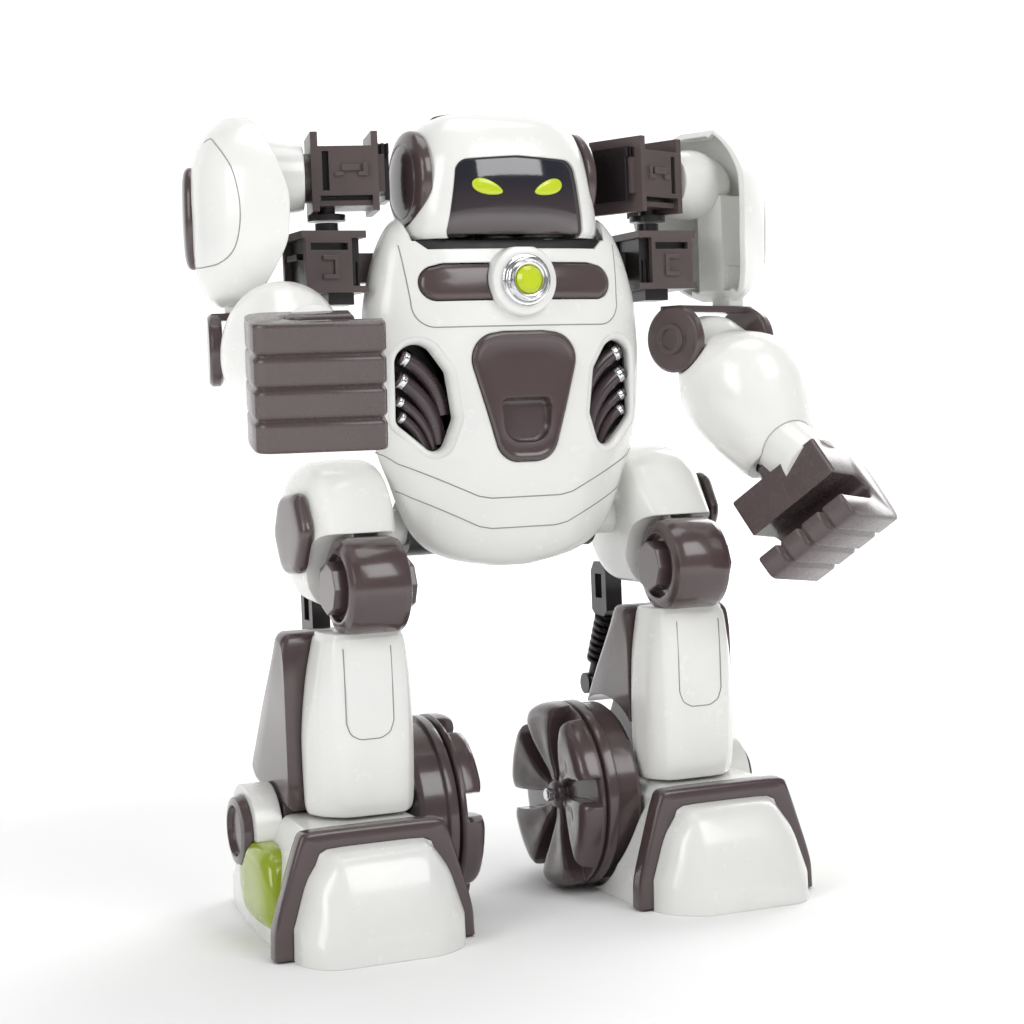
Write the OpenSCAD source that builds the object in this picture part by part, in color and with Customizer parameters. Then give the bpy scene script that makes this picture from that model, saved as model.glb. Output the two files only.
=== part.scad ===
// Toy walking robot with two wheeled legs, servo shoulders and gripping fists.
// Millimetres. +Z is up, -Y is the front, +X is the robot's own left side.
// The floor is z = 0 and the body's middle plane is x = 0.

/* [Stance] */
// Height of the hip axis above the floor
hip_z = 147; // [146.5:0.25:147.5]
// Height of the knee axis above the floor
knee_z = 128.5; // [128.25:0.25:128.75]
// Distance of the knee axis in front of the hip axis
knee_fwd = 33; // [32.5:0.25:33.5]
// Height of the ankle and wheel axis above the floor
axle_z = 37.5; // [37.3:0.1:37.7]
// Distance of the ankle and wheel axis behind the hip axis
axle_back = 6; // [5.5:0.25:6.5]

/* [Arms] */
// Sweep of the right arm to the rear, degrees
right_yaw = 13; // [10:1:15]
// Sweep of the left arm to the rear, degrees
left_yaw = 24; // [20:1:27]
// Bend of the right elbow from straight down, degrees
right_bend = 81; // [76:1:84]
// Bend of the left elbow from straight down, degrees
left_bend = 37; // [34:1:42]
// Roll of the left wrist, degrees
left_roll = 11; // [6:1:16]
// Distance of the vertical shoulder shaft from the body's middle
shoulder_x = 66; // [65.75:0.25:66.25]
// Distance of the forearm's middle from the body's middle
forearm_x = 86.5; // [86.25:0.25:86.75]
// Height of the arm swing axis above the floor
swing_z = 277; // [276.5:0.25:277.5]

/* [Body] */
// Wall of the moulded shells
wall = 2; // [1.8:0.1:2.2]
// Radius of the wheel
wheel_r = 36.5; // [36:0.1:36.8]
// Radius of the knee drum
drum_r = 18; // [17.75:0.25:18]

/* [Fits] */
// Radial clearance of a shaft in its bore
run = 0.06; // [0.03:0.01:0.09]

/* [Colours] */
// Moulded shells
shell_c = "whitesmoke"; // [whitesmoke, white, ivory]
// Brown-grey trim
trim_c = "dimgray"; // [dimgray, slategray, sienna]
// Servo cases and deep recesses
dark_c = "black"; // [black, midnightblue]
// Lenses and the chest button
lime_c = "yellowgreen"; // [yellowgreen, lime, gold]
// Plated rings
plate_c = "silver"; // [silver, lightgray]

/* [Hidden] */
$fn = 48;
knee_y = -knee_fwd;
axle_y = axle_back;
seam_y = -12;     // plane where the front and back torso shells meet
swing_y = -10;    // arm swing axis
elbow_y = -22;    // elbow axis, arm hanging
elbow_z = 215;
pivot_y = -8;     // vertical shoulder shaft
neck_y = -10;     // head turning axis

// ---------- general shapes ----------
function sgn(v) = v < 0 ? -1 : 1;
function pw(v, e) = sgn(v) * pow(abs(v), e);

// Closed ring at height z: half-width a, widest at y = ym, front at yf, back at yb
function ring(z, a, yf, ym, yb, ef = 2.4, eb = 2.2, n = 32) = [
  for (i = [0 : n - 1]) let (t = 360 * i / n, c = cos(t), s = sin(t), e = s < 0 ? ef : eb)
    [a * pw(c, 2 / e), ym + (s < 0 ? (ym - yf) : (yb - ym)) * pw(s, 2 / e), z]];

// Solid through a stack of rings that all hold the same number of points
module skin(rings) {
  n = len(rings[0]);
  m = len(rings);
  polyhedron(
    points = [for (r = rings) for (p = r) p],
    faces = concat(
      [[for (i = [0 : n - 1]) i]],
      [[for (i = [n - 1 : -1 : 0]) (m - 1) * n + i]],
      [for (j = [0 : m - 2]) for (i = [0 : n - 1]) let (k = (i + 1) % n)
        [(j + 1) * n + i, (j + 1) * n + k, j * n + k, j * n + i]]),
    convexity = 4);
}

module side(s) { if (s > 0) children(); else mirror([1, 0, 0]) children(); }
// Round bar along +X from x0 to x1
module xrod(x0, x1, r, y = 0, z = 0, f = 48) { translate([x0, y, z]) rotate([0, 90, 0]) cylinder(r = r, h = x1 - x0, $fn = f); }
// Turned shape around an X axis: profile points are [radius, x]
module xturn(pts, y, z, f = 48) { translate([0, y, z]) rotate([0, 90, 0]) rotate_extrude($fn = f) polygon(pts); }
// Round bar along +Y from y0 to y1
module yrod(y0, y1, r, x = 0, z = 0, f = 48) { translate([x, y0, z]) rotate([-90, 0, 0]) cylinder(r = r, h = y1 - y0, $fn = f); }
module box(a, b) { translate(a) cube(b - a); }
// Outline drawn in X and Z, pushed along Y from y0 to y1
module yslab(y0, y1) { translate([0, y1, 0]) rotate([90, 0, 0]) linear_extrude(y1 - y0) children(); }
// Outline drawn in Y and Z, pushed along X from x0 to x1
module xslab(x0, x1) { translate([x0, 0, 0]) rotate([90, 0, 90]) linear_extrude(x1 - x0) children(); }

// ---------- torso ----------
// Height, half-width and front of the chest shell
front_st = [[131.5, 9, -19], [134, 22, -21.5], [139, 33.5, -25], [146, 40, -28.5], [154, 43.8, -31], [164, 47.2, -33],
  [176, 51.6, -34.3], [192, 54.6, -35], [210, 55.6, -34.8], [226, 55.2, -33.8], [237, 53.4, -32.4], [246, 51, -30.8],
  [252.6, 48.4, -29.2], [257, 46, -27], [261, 42.6, -23.4], [263.4, 37.6, -19]];
module torso_loft(o) {
  skin([for (s = front_st) ring(s[0] + (s[0] < 140 ? -o : s[0] > 256 ? o : 0), s[1] + o, s[2] - o, seam_y, seam_y + 6, 2.4, 2.2, 36)]);
}
// Height, half-width and back of the rear shell
back_st = [[134, 20, 12], [139, 29, 19], [146, 36, 26], [156, 40.5, 32], [170, 43.6, 35.5], [190, 46, 37.5],
  [215, 47, 38], [235, 46.5, 36.5], [248, 45, 33.4], [256, 43, 29.4], [261, 39.6, 24.6], [263.4, 35, 19]];
module back_loft(o) {
  skin([for (s = back_st) ring(s[0] + (s[0] < 140 ? -o : s[0] > 256 ? o : 0), s[1] + o, seam_y - 6, seam_y, s[2] + o, 2.2, 2.1, 32)]);
}
module shield_2d() {
  hull() {
    translate([-13.5, 212]) circle(r = 6.5);
    translate([13.5, 212]) circle(r = 6.5);
    translate([-9, 216.5]) circle(r = 2.6);
    translate([9, 216.5]) circle(r = 2.6);
    translate([-6, 176.5]) circle(r = 6);
    translate([6, 176.5]) circle(r = 6);
  }
}
module shield_hole_2d() { hull() { translate([-5.5, 191]) circle(r = 2.5); translate([5.5, 191]) circle(r = 2.5); translate([0, 185]) circle(r = 7.5); } }
module bar_2d() { hull() { translate([-32, 237]) circle(r = 6.6); translate([32, 237]) circle(r = 6.6); translate([-29, 242]) circle(r = 2.4); translate([29, 242]) circle(r = 2.4); } }
// Side vent outline on the +X side
module vent_2d() { hull() { translate([40.4, 208]) circle(r = 7); translate([33.5, 203]) circle(r = 4); translate([43.4, 188]) circle(r = 4); translate([34.6, 180]) circle(r = 4.2); translate([30.5, 188]) circle(r = 3); } }
// Flat dark tray closing the top of the torso under the head
module collar_plate(o, z0, z1) {
  intersection() {
    union() { back_loft(-wall - 0.2 + o); intersection() { torso_loft(-wall - 0.2 + o); box([-70, -60, 240], [70, seam_y - wall - 0.2, 270]); } }
    box([-70, -60, z0], [70, 60, z1]);
  }
}
// Low front of the collar opening, where the dark tray shows under the chin
module lip_2d(o) { polygon([[-37.6 - o, 253], [-33.6 - o, 249.8 - o], [33.6 + o, 249.8 - o], [37.6 + o, 253], [37.6 + o, 253 + o * 100], [-37.6 - o, 253 + o * 100]]); }
module head_room() { translate([0, neck_y, 252.9]) cylinder(r = 41.2, h = 20, $fn = 96); }

module torso_front_shell() {
  color(shell_c) difference() {
    union() {
      intersection() { torso_loft(0); box([-70, -60, 120], [70, seam_y, 270]); }
      yrod(-37.5, -26, 13, 0, 237.4);
    }
    difference() {
      intersection() { torso_loft(-wall); box([-70, -60, 100], [70, seam_y - wall, 270]); }
      yrod(-40, -25, 13, 0, 237.4);
    }
    back_loft(-wall);
    // room for the head to turn
    head_room();
    // clear space behind the boss and for the parts let into the shell
    yslab(-50, -20) shield_2d();
    difference() { yslab(-50, -20) bar_2d(); yrod(-60, -10, 13, 0, 237.4); }
    for (s = [-1, 1]) side(s) yslab(-60, -13) vent_2d();
    yslab(-60, -20) lip_2d(0.2);
    yrod(-45, -20, 8.5, 0, 237.4);
    for (s = [-1, 1]) side(s) xrod(30, 60, 8.5, 0, hip_z);
  }
}

module torso_back_shell() {
  color(shell_c) difference() {
    intersection() { back_loft(0); box([-70, seam_y, 120], [70, 60, 270]); }
    back_loft(-wall);
    yslab(20, 60) cover_2d();
    head_room();
    for (s = [-1, 1]) side(s) {
      xrod(15.6, 60, 11.3, 0, hip_z);
      box([38, -8.2, 236.8], [60, 6.2, 252.2]);
      yrod(5, 60, 3.1, 27, 166);
      yrod(5, 60, 3.1, 27, 238);
    }
  }
}
module cover_2d() { translate([-19, 176]) square([38, 48]); }

module battery_cover() {
  color(shell_c) difference() {
    intersection() { back_loft(0); yslab(20, 60) cover_2d(); }
    back_loft(-wall);
    for (i = [0 : 3]) yslab(37.3, 60) translate([-8, 212 + i * 2.4]) square([16, 1]);
  }
}

module chassis_frame() {
  color(dark_c) difference() {
    union() {
      box([-30, -3, 150], [30, 1, 246]);
      for (s = [-1, 1]) side(s) {
        xrod(16, 38.6, 11, 0, hip_z);
        box([16, -3, 150], [30, 6, 160]);
        box([28, -6, 239], [42, 4, 250]);
        // screw posts
        yrod(1, 12, 3.4, 27, 166);
        yrod(1, 12, 3.4, 27, 238);
      }
      box([-16, -6, 141], [16, 6, 153]);
      // neck socket under the tray
      translate([0, neck_y, 238]) cylinder(r = 11, h = 11.5);
      box([-10, -3, 238], [10, 1, 249.5]);
    }
    for (s = [-1, 1]) side(s) {
      xrod(18, 60, 7 + run, 0, hip_z);
      yrod(3, 14, 1.5, 27, 166);
      yrod(3, 14, 1.5, 27, 238);
    }
    translate([0, neck_y, 240]) cylinder(r = 8 + run, h = 20);
    // lightening window between the board and the battery
    box([-14, -5, 182], [14, 3, 214]);
  }
}

module chest_bar() {
  color(trim_c) difference() {
    intersection() { torso_loft(1.2); yslab(-50, -20) bar_2d(); }
    torso_loft(-wall);
    yrod(-60, -10, 13, 0, 237.4);
  }
}

module belly_panel() {
  color(trim_c) difference() {
    intersection() { torso_loft(1.2); yslab(-50, -20) shield_2d(); }
    torso_loft(-wall - 0.4);
    difference() { yslab(-60, -20) shield_hole_2d(); torso_loft(-1.1); }
  }
}

// Plated ring round the chest button
module button_bezel() {
  color(plate_c) translate([0, -41.6, 237.4]) rotate([-90, 0, 0]) rotate_extrude($fn = 64)
    polygon([[5.1, 0.8], [6, 0], [7.6, 0], [8.5, 1], [8.5, 2.2], [9.6, 2.6], [9.6, 4.1], [8.5, 4.1], [8.5, 14], [5.1, 14]]);
}
module chest_button() {
  color(lime_c) translate([0, -42.6, 237.4]) rotate([-90, 0, 0]) rotate_extrude($fn = 48)
    polygon([[0, 0], [3.6, 0], [4.6, 0.9], [5.04, 1.4], [5.04, 13], [0, 13]]);
}

module collar_tray() {
  color(dark_c) difference() {
    union() {
      collar_plate(0, 251.2, 252.8);
      intersection() { torso_loft(-1); yslab(-40, -20) lip_2d(0); }
      translate([0, neck_y, 249.6]) cylinder(r = 11, h = 4.7);
    }
    translate([0, neck_y, 240]) cylinder(r = 8 + run, h = 20);
  }
}

// Four curved hoses behind each side vent, each with a plated collar:
// [arc centre x, arc centre z, arc radius, start angle, sweep, hose radius, y]
hose_st = [[55.7, 185.3, 28, 120.3, 52, 3.1, -21.4], [59.9, 176.3, 30, 124.4, 52, 3, -21.4], [58, 171.8, 26, 123, 49, 1.9, -21], [57, 170.4, 22, 127.6, 42, 1.9, -21]];
module vent_hoses() {
  for (s = [-1, 1]) side(s) for (h = hose_st) translate([h[0], h[6], h[1]]) rotate([90, 0, 0]) {
    color(dark_c) rotate_extrude(angle = h[4] + 8, start = h[3] - 8, $fn = 72) translate([h[2], 0]) circle(r = h[5], $fn = 20);
    color(plate_c) rotate_extrude(angle = 5, start = h[3] - 5, $fn = 72) translate([h[2], 0]) circle(r = h[5] + 0.4, $fn = 20);
  }
}

module battery_pack() {
  color("steelblue") for (i = [-1.5 : 1 : 1.5]) translate([i * 15, 14, 174]) { cylinder(r = 7.2, h = 48.5); translate([0, 0, 48.5]) cylinder(r = 2.7, h = 1.8); }
}
module circuit_board() {
  color("darkgreen") box([-22, -9, 166], [22, -7.4, 226]);
  color(dark_c) { box([-8, -11, 172], [8, -9, 184]); box([6, -12, 205], [16, -9, 214]); box([-17, -14, 196], [-7, -9, 203]); }
  color(trim_c) for (s = [-1, 1]) side(s) for (z = [170, 220]) yrod(-7.4, -3, 2, 19, z, 24);
}
module body_screws() {
  color(plate_c) for (s = [-1, 1]) side(s) for (z = [166, 238]) difference() {
    union() { yrod(6, 16, 1.5, 27, z, 24); yrod(12, z < 200 ? 20.5 : 22.5, 2.9, 27, z, 24); }
    translate([27, (z < 200 ? 20.5 : 22.5), z]) { cube([3.6, 2.4, 0.9], center = true); cube([0.9, 2.4, 3.6], center = true); }
  }
}

// Lower servo brackets, bolted to the chassis
module lower_bracket() {
  difference() {
    union() {
      box([55.4, -21, 254.4], [80, 3, 257]);
      box([55.4, -21, 234.6], [80, 3, 237]);
      // face plate, with the servo showing at both sides of it
      box([61, -21, 236], [78.6, -18.2, 256]);
      box([55.4, 1, 236], [80, 3, 256]);
      // clip on the face plate
      box([66.4, -22, 239.6], [68, -20, 248]);
      box([66.4, -22, 239.6], [72.4, -20, 241.2]);
      box([66.4, -22, 246.4], [72.4, -20, 248]);
      // arm to the chassis
      box([42, -6, 239], [57, 3, 250]);
    }
    box([62.6, -30, 250], [76.6, -17, 252.6]);
    translate([shoulder_x, pivot_y, 251]) cylinder(r = 4.4, h = 10);
  }
}
module lower_brackets() { color(trim_c) for (s = [-1, 1]) side(s) lower_bracket(); }
module lower_servos() {
  color(dark_c) for (s = [-1, 1]) side(s) {
    difference() {
      union() {
        box([57.2, -17.4, 237], [77.4, 1, 254.4]);
        box([57.2, -13, 247], [79.6, -1, 249.2]);
        translate([shoulder_x, pivot_y, 254]) cylinder(r = 4.3, h = 6.6);
      }
      for (x = [58, 60]) box([x, -18.6, 230], [x + 0.9, -16.4, 246]);
    }
    // lead outlet under the bracket
    box([59.6, -17, 230.4], [69.4, -5, 234.6]);
  }
}

// ---------- head ----------
// Height, half-width, front and back of the helmet
head_st = [[253.6, 38.2, -31.6, 10], [256, 39, -33.6, 12], [263, 38.6, -35.4, 14], [272, 37.2, -35.8, 14.6], [281, 35.2, -34.8, 14.2],
  [289, 32.8, -32.2, 12.8], [294.6, 29.8, -28.8, 10.6], [298.4, 25.4, -24.4, 7.4], [300.8, 19, -19, 3.4], [301.8, 12, -14, -1]];
module head_loft(o) {
  skin([for (s = head_st) ring(s[0] + (s[0] < 255 ? -o : s[0] > 300 ? o : 0), s[1] + o, s[2] - o, -8, s[3] + o, 2.9, 2.6, 36)]);
}
module visor_2d() { hull() { translate([-18.8, 276.8]) circle(r = 5.4); translate([18.8, 276.8]) circle(r = 5.4); translate([-24, 256.2]) circle(r = 3.4); translate([24, 256.2]) circle(r = 3.4); translate([0, 278]) circle(r = 5.4); } }
module eye_2d() { translate([12.2, 271.6]) rotate(17) scale([1, 0.6]) circle(r = 6.2, $fn = 24); }
module head_shell() {
  color(shell_c) difference() {
    head_loft(0);
    difference() {
      head_loft(-2.6);
      translate([0, neck_y, 262]) cylinder(r = 11, h = 45);
    }
    box([-30, -24, 240], [30, 8, 256.2]);
    yslab(-60, -18) visor_2d();
    for (s = [-1, 1]) side(s) xrod(31.6, 60, 19, -9.4, 275.8);
    top_band();
    translate([0, neck_y, 240]) cylinder(r = 8, h = 40);
  }
}
module top_band() { box([-22, -6, 297], [22, 3.5, 310]); }
module head_trim() {
  color(trim_c) {
    for (s = [-1, 1]) side(s) xturn([[0, 31.6], [19, 31.6], [19, 34], [18.2, 35.4], [15, 36.9], [8.4, 37.9], [0, 38.2]], -9.4, 275.8, 56);
    difference() { intersection() { head_loft(0.6); top_band(); } head_loft(-2.6); }
  }
}
module visor() {
  color(dark_c) difference() {
    intersection() { head_loft(-1); yslab(-60, -18) visor_2d(); }
    head_loft(-3.4);
    for (s = [-1, 1]) side(s) yslab(-60, -18) eye_2d();
  }
}
module eye_lenses() {
  color(lime_c) for (s = [-1, 1]) side(s) difference() {
    intersection() { head_loft(-0.6); yslab(-60, -18) eye_2d(); }
    head_loft(-3.4);
  }
}
module neck_post() { color(trim_c) translate([0, neck_y, 241]) { cylinder(r = 8, h = 39); } }

// ---------- arms ----------
module arm(s) {
  side(s) translate([shoulder_x, pivot_y, 0]) rotate([0, 0, s > 0 ? left_yaw : right_yaw]) translate([-shoulder_x, -pivot_y, 0]) children();
}
module upper_bracket() {
  difference() {
    union() {
      box([69.4, -21, 264], [72, 5, 292.6]);
      box([47.6, -21, 264], [50, 5, 292.6]);
      box([47.6, -21, 269.6], [72, -18.4, 287.4]);
      box([50, -19, 266], [69.4, 3, 268]);
      box([45, -18, 271], [47.6, -2, 284.6]);
      // clip on the face plate
      box([51.6, -22, 276.6], [53.2, -20, 281.2]);
      box([51.6, -22, 276.6], [55, -20, 278]);
      box([54.4, -22, 278.4], [61, -20, 280.8]);
      box([60.4, -22, 276.6], [63.6, -20, 278]);
      // boss that carries the arm
      xrod(72, 74, 9, swing_y, swing_z);
    }
    box([65.6, -30, 271.4], [68, -17, 285.6]);
    xrod(68, 80, 5 + run, swing_y, swing_z);
  }
}
module arm_servo() {
  difference() {
    union() {
      box([43.2, -16.6, 268], [45, 0.6, 287]);
      box([50, -16.6, 268], [68.4, 0.6, 287]);
      box([43.2, -17.4, 284.7], [47.6, 1.4, 288.6]);
      translate([shoulder_x, pivot_y, 261.4]) cylinder(r = 3.3, h = 4.6);
      translate([shoulder_x, pivot_y, 261.4]) cylinder(r = 7, h = 2.3);
    }
    for (x = [44, 46]) box([x, -30, 283], [x + 1, -15.6, 290]);
    xrod(66, 80, 5 + run, swing_y, swing_z);
  }
}
// Shoulder armour: height, open inner edge, outermost x, front, rear
armour_st = [[230.4, 97.4, 106.6, -26, -10], [234, 93.4, 111.4, -33, -3.6], [243, 87.4, 114.4, -39, 3.6], [254, 82.6, 115.4, -42.6, 9],
  [266, 81.8, 115.8, -43.6, 12.4], [277, 84.2, 115.2, -41.6, 12.6], [286, 87.4, 113, -36, 9.6], [293, 90.6, 109, -28.6, 4.2], [298, 94, 103.4, -20.4, -3.8]];
function leaf_ring(s, o) = let (n = 22, ym = (s[3] + s[4]) / 2, h = (s[4] - s[3]) / 2 + o, d = s[2] - s[1] + o)
  concat([for (i = [0 : n]) let (t = -90 + 180 * i / n) [s[1] + d * pw(max(0, cos(t)), 0.9), ym + h * pw(sin(t), 0.86), s[0] + (s[0] < 233 ? -o : s[0] > 297 ? o : 0)]]);
module armour_loft(o) { skin([for (s = armour_st) leaf_ring(s, o)]); }
module shoulder_armour() {
  difference() {
    union() {
      difference() { armour_loft(0); translate([-2.4, 0, 0]) armour_loft(-2.4); }
      intersection() { armour_loft(-1.2); union() { xrod(86, 125, 12, swing_y, swing_z); box([93, -24, 220], [106, -12, 272]); } }
      xturn([[5, 74.4], [11.6, 74.4], [12.6, 80], [13.8, 90], [12, 96], [0, 96], [0, 84], [5, 84]], swing_y, swing_z);
      box([96, -24.4, 228], [105, -16, 244]);
    }
    xslab(112, 130) cap_2d();
  }
  // pin that turns in the bracket's boss
  xrod(70, 84, 5, swing_y, swing_z);
}
module cap_2d() { translate([-11, 263]) scale([0.62, 1]) circle(r = 18.5, $fn = 40); }
module shoulder_cap() {
  translate([0, -11, 263]) rotate([90, 0, 90])
    skin([for (s = [[112, 1], [116, 1], [117.6, 0.92], [118.4, 0.74]]) [for (i = [0 : 31]) [18.5 * 0.62 * s[1] * cos(i * 11.25), 18.5 * s[1] * sin(i * 11.25), s[0]]]]);
}
module elbow_fork() {
  difference() {
    union() {
      box([63, -25, 225.4], [110, -15.6, 228]);
      for (x = [61.5, 106.7]) {
        xturn([[0, x], [12, x], [13, x + 1], [13, x + 3.8], [12, x + 4.8], [0, x + 4.8]], elbow_y, elbow_z);
      }
      xrod(60, 63, 6, elbow_y, elbow_z);
      xrod(63, 109, 4, elbow_y, elbow_z);
    }
    xrod(59, 60.8, 4, elbow_y, elbow_z);
  }
}
// Forearm: distance from the elbow, half-width, depth on the back and on the palm side
fore_st = [[-7.6, 10, 5.4, 6.4], [-4, 14.6, 8.6, 9], [1, 18, 10, 12], [5, 19.4, 12, 14.4], [9, 20.4, 16, 16.6], [14, 21.2, 21, 18.8], [19, 21.6, 24.6, 20.4], [26, 21.8, 26.6, 21.4],
  [33, 21.2, 26, 21.2], [41, 19.6, 22.8, 19.6], [50, 17, 18.4, 17.2], [56, 15.2, 15.8, 15.4], [58, 14, 14.6, 14.4]];
// The left hand sits nearer the inner elbow disc than the right one
function hand_dx(s) = s > 0 ? -4 : -1;
function fore_dx(s, t) = (s > 0 ? -4 : 0) * min(1, max(0, (t - 2) / 16));
module forearm_place(s) { translate([0, elbow_y, elbow_z]) rotate([-(s > 0 ? left_bend : right_bend), 0, 0]) children(); }
module forearm_shell(s) {
  forearm_place(s) difference() {
    translate([forearm_x, 0, 0]) mirror([0, 0, 1]) skin([for (q = fore_st) [for (v = ring(q[0], q[1], -q[2], 0, q[3], 2.1, 2.1, 32)) [v[0] + fore_dx(s, q[0]), v[1], v[2]]]]);
    xrod(50, 120, 4 + run, 0, 0);
    // round pockets that clear the elbow discs
    xrod(50, 66.7, 13.4, 0, 0);
    xrod(106.3, 125, 13.4, 0, 0);
    translate([forearm_x + hand_dx(s), 0, -60]) cylinder(r = 7 + run, h = 22);
    // open cuff where the wrist shows, on the front inner side
    translate([forearm_x + hand_dx(s), 0, -62]) cylinder(r = 11.2, h = 13);
    translate([forearm_x + hand_dx(s), 0, -46]) rotate([-24, 14, 0]) translate([0, 0, -30]) cylinder(r = 11.6, h = 30);
  }
}
// Grip outline across the hand: [across, along the forearm]
function grip_pts() = concat([[-18, -67], [8, -67]], [for (i = [1 : 5]) let (t = 90 - 16 * i) [8 + 9 * cos(t), -76 + 9 * sin(t)]],
  [[17.4, -84], [16.6, -98.4], [14, -102], [12, -103], [-23.6, -103], [-26, -101.4], [-26, -93.4]],
  [for (i = [0 : 8]) let (t = -90 + 22.5 * i) [-1 + 5.4 * cos(t), -88 + 5.4 * sin(t)]], [[-18, -82.6]]);
module fist(s) {
  forearm_place(s) translate([forearm_x + hand_dx(s), 0, 0]) rotate([0, 0, s > 0 ? left_roll : 0]) union() {
    translate([0, 0, -52]) cylinder(r = 7, h = 13);
    translate([0, 0, -60]) cylinder(r = 10, h = 10);
    translate([0, 0, -67]) cylinder(r = 11.4, h = 8);
    difference() {
      translate([0, 20.5, 0]) rotate([90, 0, 0]) linear_extrude(41) polygon(grip_pts());
      // finger grooves
      for (y = [-10, 0, 10]) translate([0, y, -103]) rotate([45, 0, 0]) box([-40, -1.3, -1.3], [40, 1.3, 1.3]);
      // sloped back of the hand
      for (m = [0, 1]) mirror([0, m, 0]) translate([0, 20.5, -67]) rotate([45, 0, 0]) cube([60, 3.4, 3.4], center = true);
    }
  }
}

// ---------- legs, drawn on the +X side ----------
module thigh_shell() {
  color(shell_c) difference() {
    union() {
      hull() {
        xturn([[0, 48.6], [20, 48.6], [24.6, 51], [26.6, 56], [27, 64], [26.2, 73], [22.6, 79], [17, 81.6], [0, 81.6]], -1, hip_z, 32);
        xturn([[0, 53], [10, 53], [14, 56], [14.8, 66], [14, 76], [10, 79], [0, 79]], knee_y + 9, knee_z + 6, 32);
      }
      // tongue that carries the knee pin
      xrod(59, 69, 10, knee_y, knee_z);
      box([59, knee_y, knee_z - 7], [69, knee_y + 16, knee_z + 10]);
      // hip axle
      xrod(20, 52, 7, 0, hip_z);
    }
    difference() {
      xrod(40, 100, drum_r + 1.2, knee_y, knee_z);
      xrod(59, 69, 60, knee_y, knee_z);
    }
    difference() { xrod(59, 69, drum_r + 1.2, knee_y, knee_z); xrod(58, 70, 10, knee_y, knee_z); box([58, knee_y, knee_z - 7], [70, knee_y + 24, knee_z + 10]); }
    xrod(50, 90, 5, knee_y, knee_z);
  }
}
// Long six-sided cap over the hip
function hex_ring(f, x) = [for (p = [[-20, 1], [-11, 16], [10, 14], [18, 0], [9, -15], [-10, -14]]) [p[0] * f, p[1] * f, x]];
module hip_cap() {
  color(trim_c) translate([0, -6, hip_z]) rotate([90, 0, 90]) skin([hex_ring(0.96, 81.6), hex_ring(1, 82.6), hex_ring(1, 84), hex_ring(0.8, 86)]);
}
module knee_pin() {
  color(trim_c) {
    xrod(54, 75, 5, knee_y, knee_z);
    xrod(48.6, 55, 9.5, knee_y, knee_z, 8);
    xrod(73.4, 79.8, 9.5, knee_y, knee_z, 8);
  }
}
module knee_drum() {
  color(trim_c) difference() {
    xturn([[0, 52.4], [14.5, 52.4], [drum_r - 1, 53.6], [drum_r, 56.4], [drum_r, 72], [drum_r - 1, 74.8], [14.5, 76], [0, 76]], knee_y, knee_z, 64);
    xrod(40, 90, 5 + run, knee_y, knee_z);
    xrod(49, 55.3, 12.4, knee_y, knee_z);
    xrod(73.1, 83, 12.4, knee_y, knee_z);
    // slot for the thigh's tongue, open to the rear
    xrod(58.6, 69.4, 10.6, knee_y, knee_z);
    intersection() {
      xrod(58.6, 69.4, 30, knee_y, knee_z);
      xslab(58.6, 69.4) polygon([[knee_y - 4, knee_z + 10], [knee_y + 6, knee_z + 30], [knee_y + 40, knee_z + 30], [knee_y + 40, knee_z - 15.8], [knee_y + 4, knee_z - 15.8], [knee_y - 4, knee_z - 6]]);
    }
    box([40, knee_y - 30, knee_z - 30], [90, knee_y + 30, 112.2]);
  }
}
// Shin: height, inner and outer edge of the front face, inner and outer side, front, sides' rear edge
shin_st = [[46, 54, 76, 47.6, 86.2, -36, -17], [50, 53.6, 77, 47, 87, -37, -17], [70, 53, 78.6, 46.6, 87.4, -38, -17], [92, 52.4, 79.4, 47.4, 85.4, -38, -17], [106, 52.6, 79, 49.4, 82.6, -37.4, -17], [112.2, 53.4, 78, 50.6, 81, -36.4, -17]];
function shin_ring(s) = [[s[1], s[5], s[0]], [s[2], s[5], s[0]], [(s[2] + s[4] * 2) / 3 + 0.8, s[5] + 7, s[0]], [s[4], s[6] - 4, s[0]], [s[4] - 0.6, s[6], s[0]], [s[3] + 0.6, s[6], s[0]], [s[3], s[6] - 4, s[0]], [(s[1] + s[3] * 2) / 3 - 0.8, s[5] + 7, s[0]]];
module shin_shell() { color(shell_c) skin([for (s = shin_st) shin_ring(s)]); }
// Brown calf panels behind the shin shell
calf_pts = [[-17, 46], [-17, 111], [-4, 112.2], [1, 104], [17, 82], [31, 60], [34, 55], [29, 50.8], [-2, 46]];
module shin_panels() {
  color(trim_c) difference() {
    union() {
      translate([0, 0, 0]) rotate([90, 0, 90]) mirror([0, 0, 0]) skin([for (q = [[46.6, 0.93], [49, 1], [89, 1], [92.2, 0.9]]) [for (p = [for (i = [len(calf_pts) - 1 : -1 : 0]) calf_pts[i]]) [(p[0] < -10 ? p[0] : p[0] - (1 - q[1]) * 38), 79 + (p[1] - 79) * q[1], q[0]]]]);
      // ankle lug
      xrod(64, 92, 15, axle_y, axle_z);
      box([64, -9, axle_z], [92, 21, 50]);
    }
    xrod(70, 100, 6 + run, axle_y, axle_z);
    xrod(30, 60, wheel_r + 1, axle_y, axle_z);
  }
}
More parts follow.
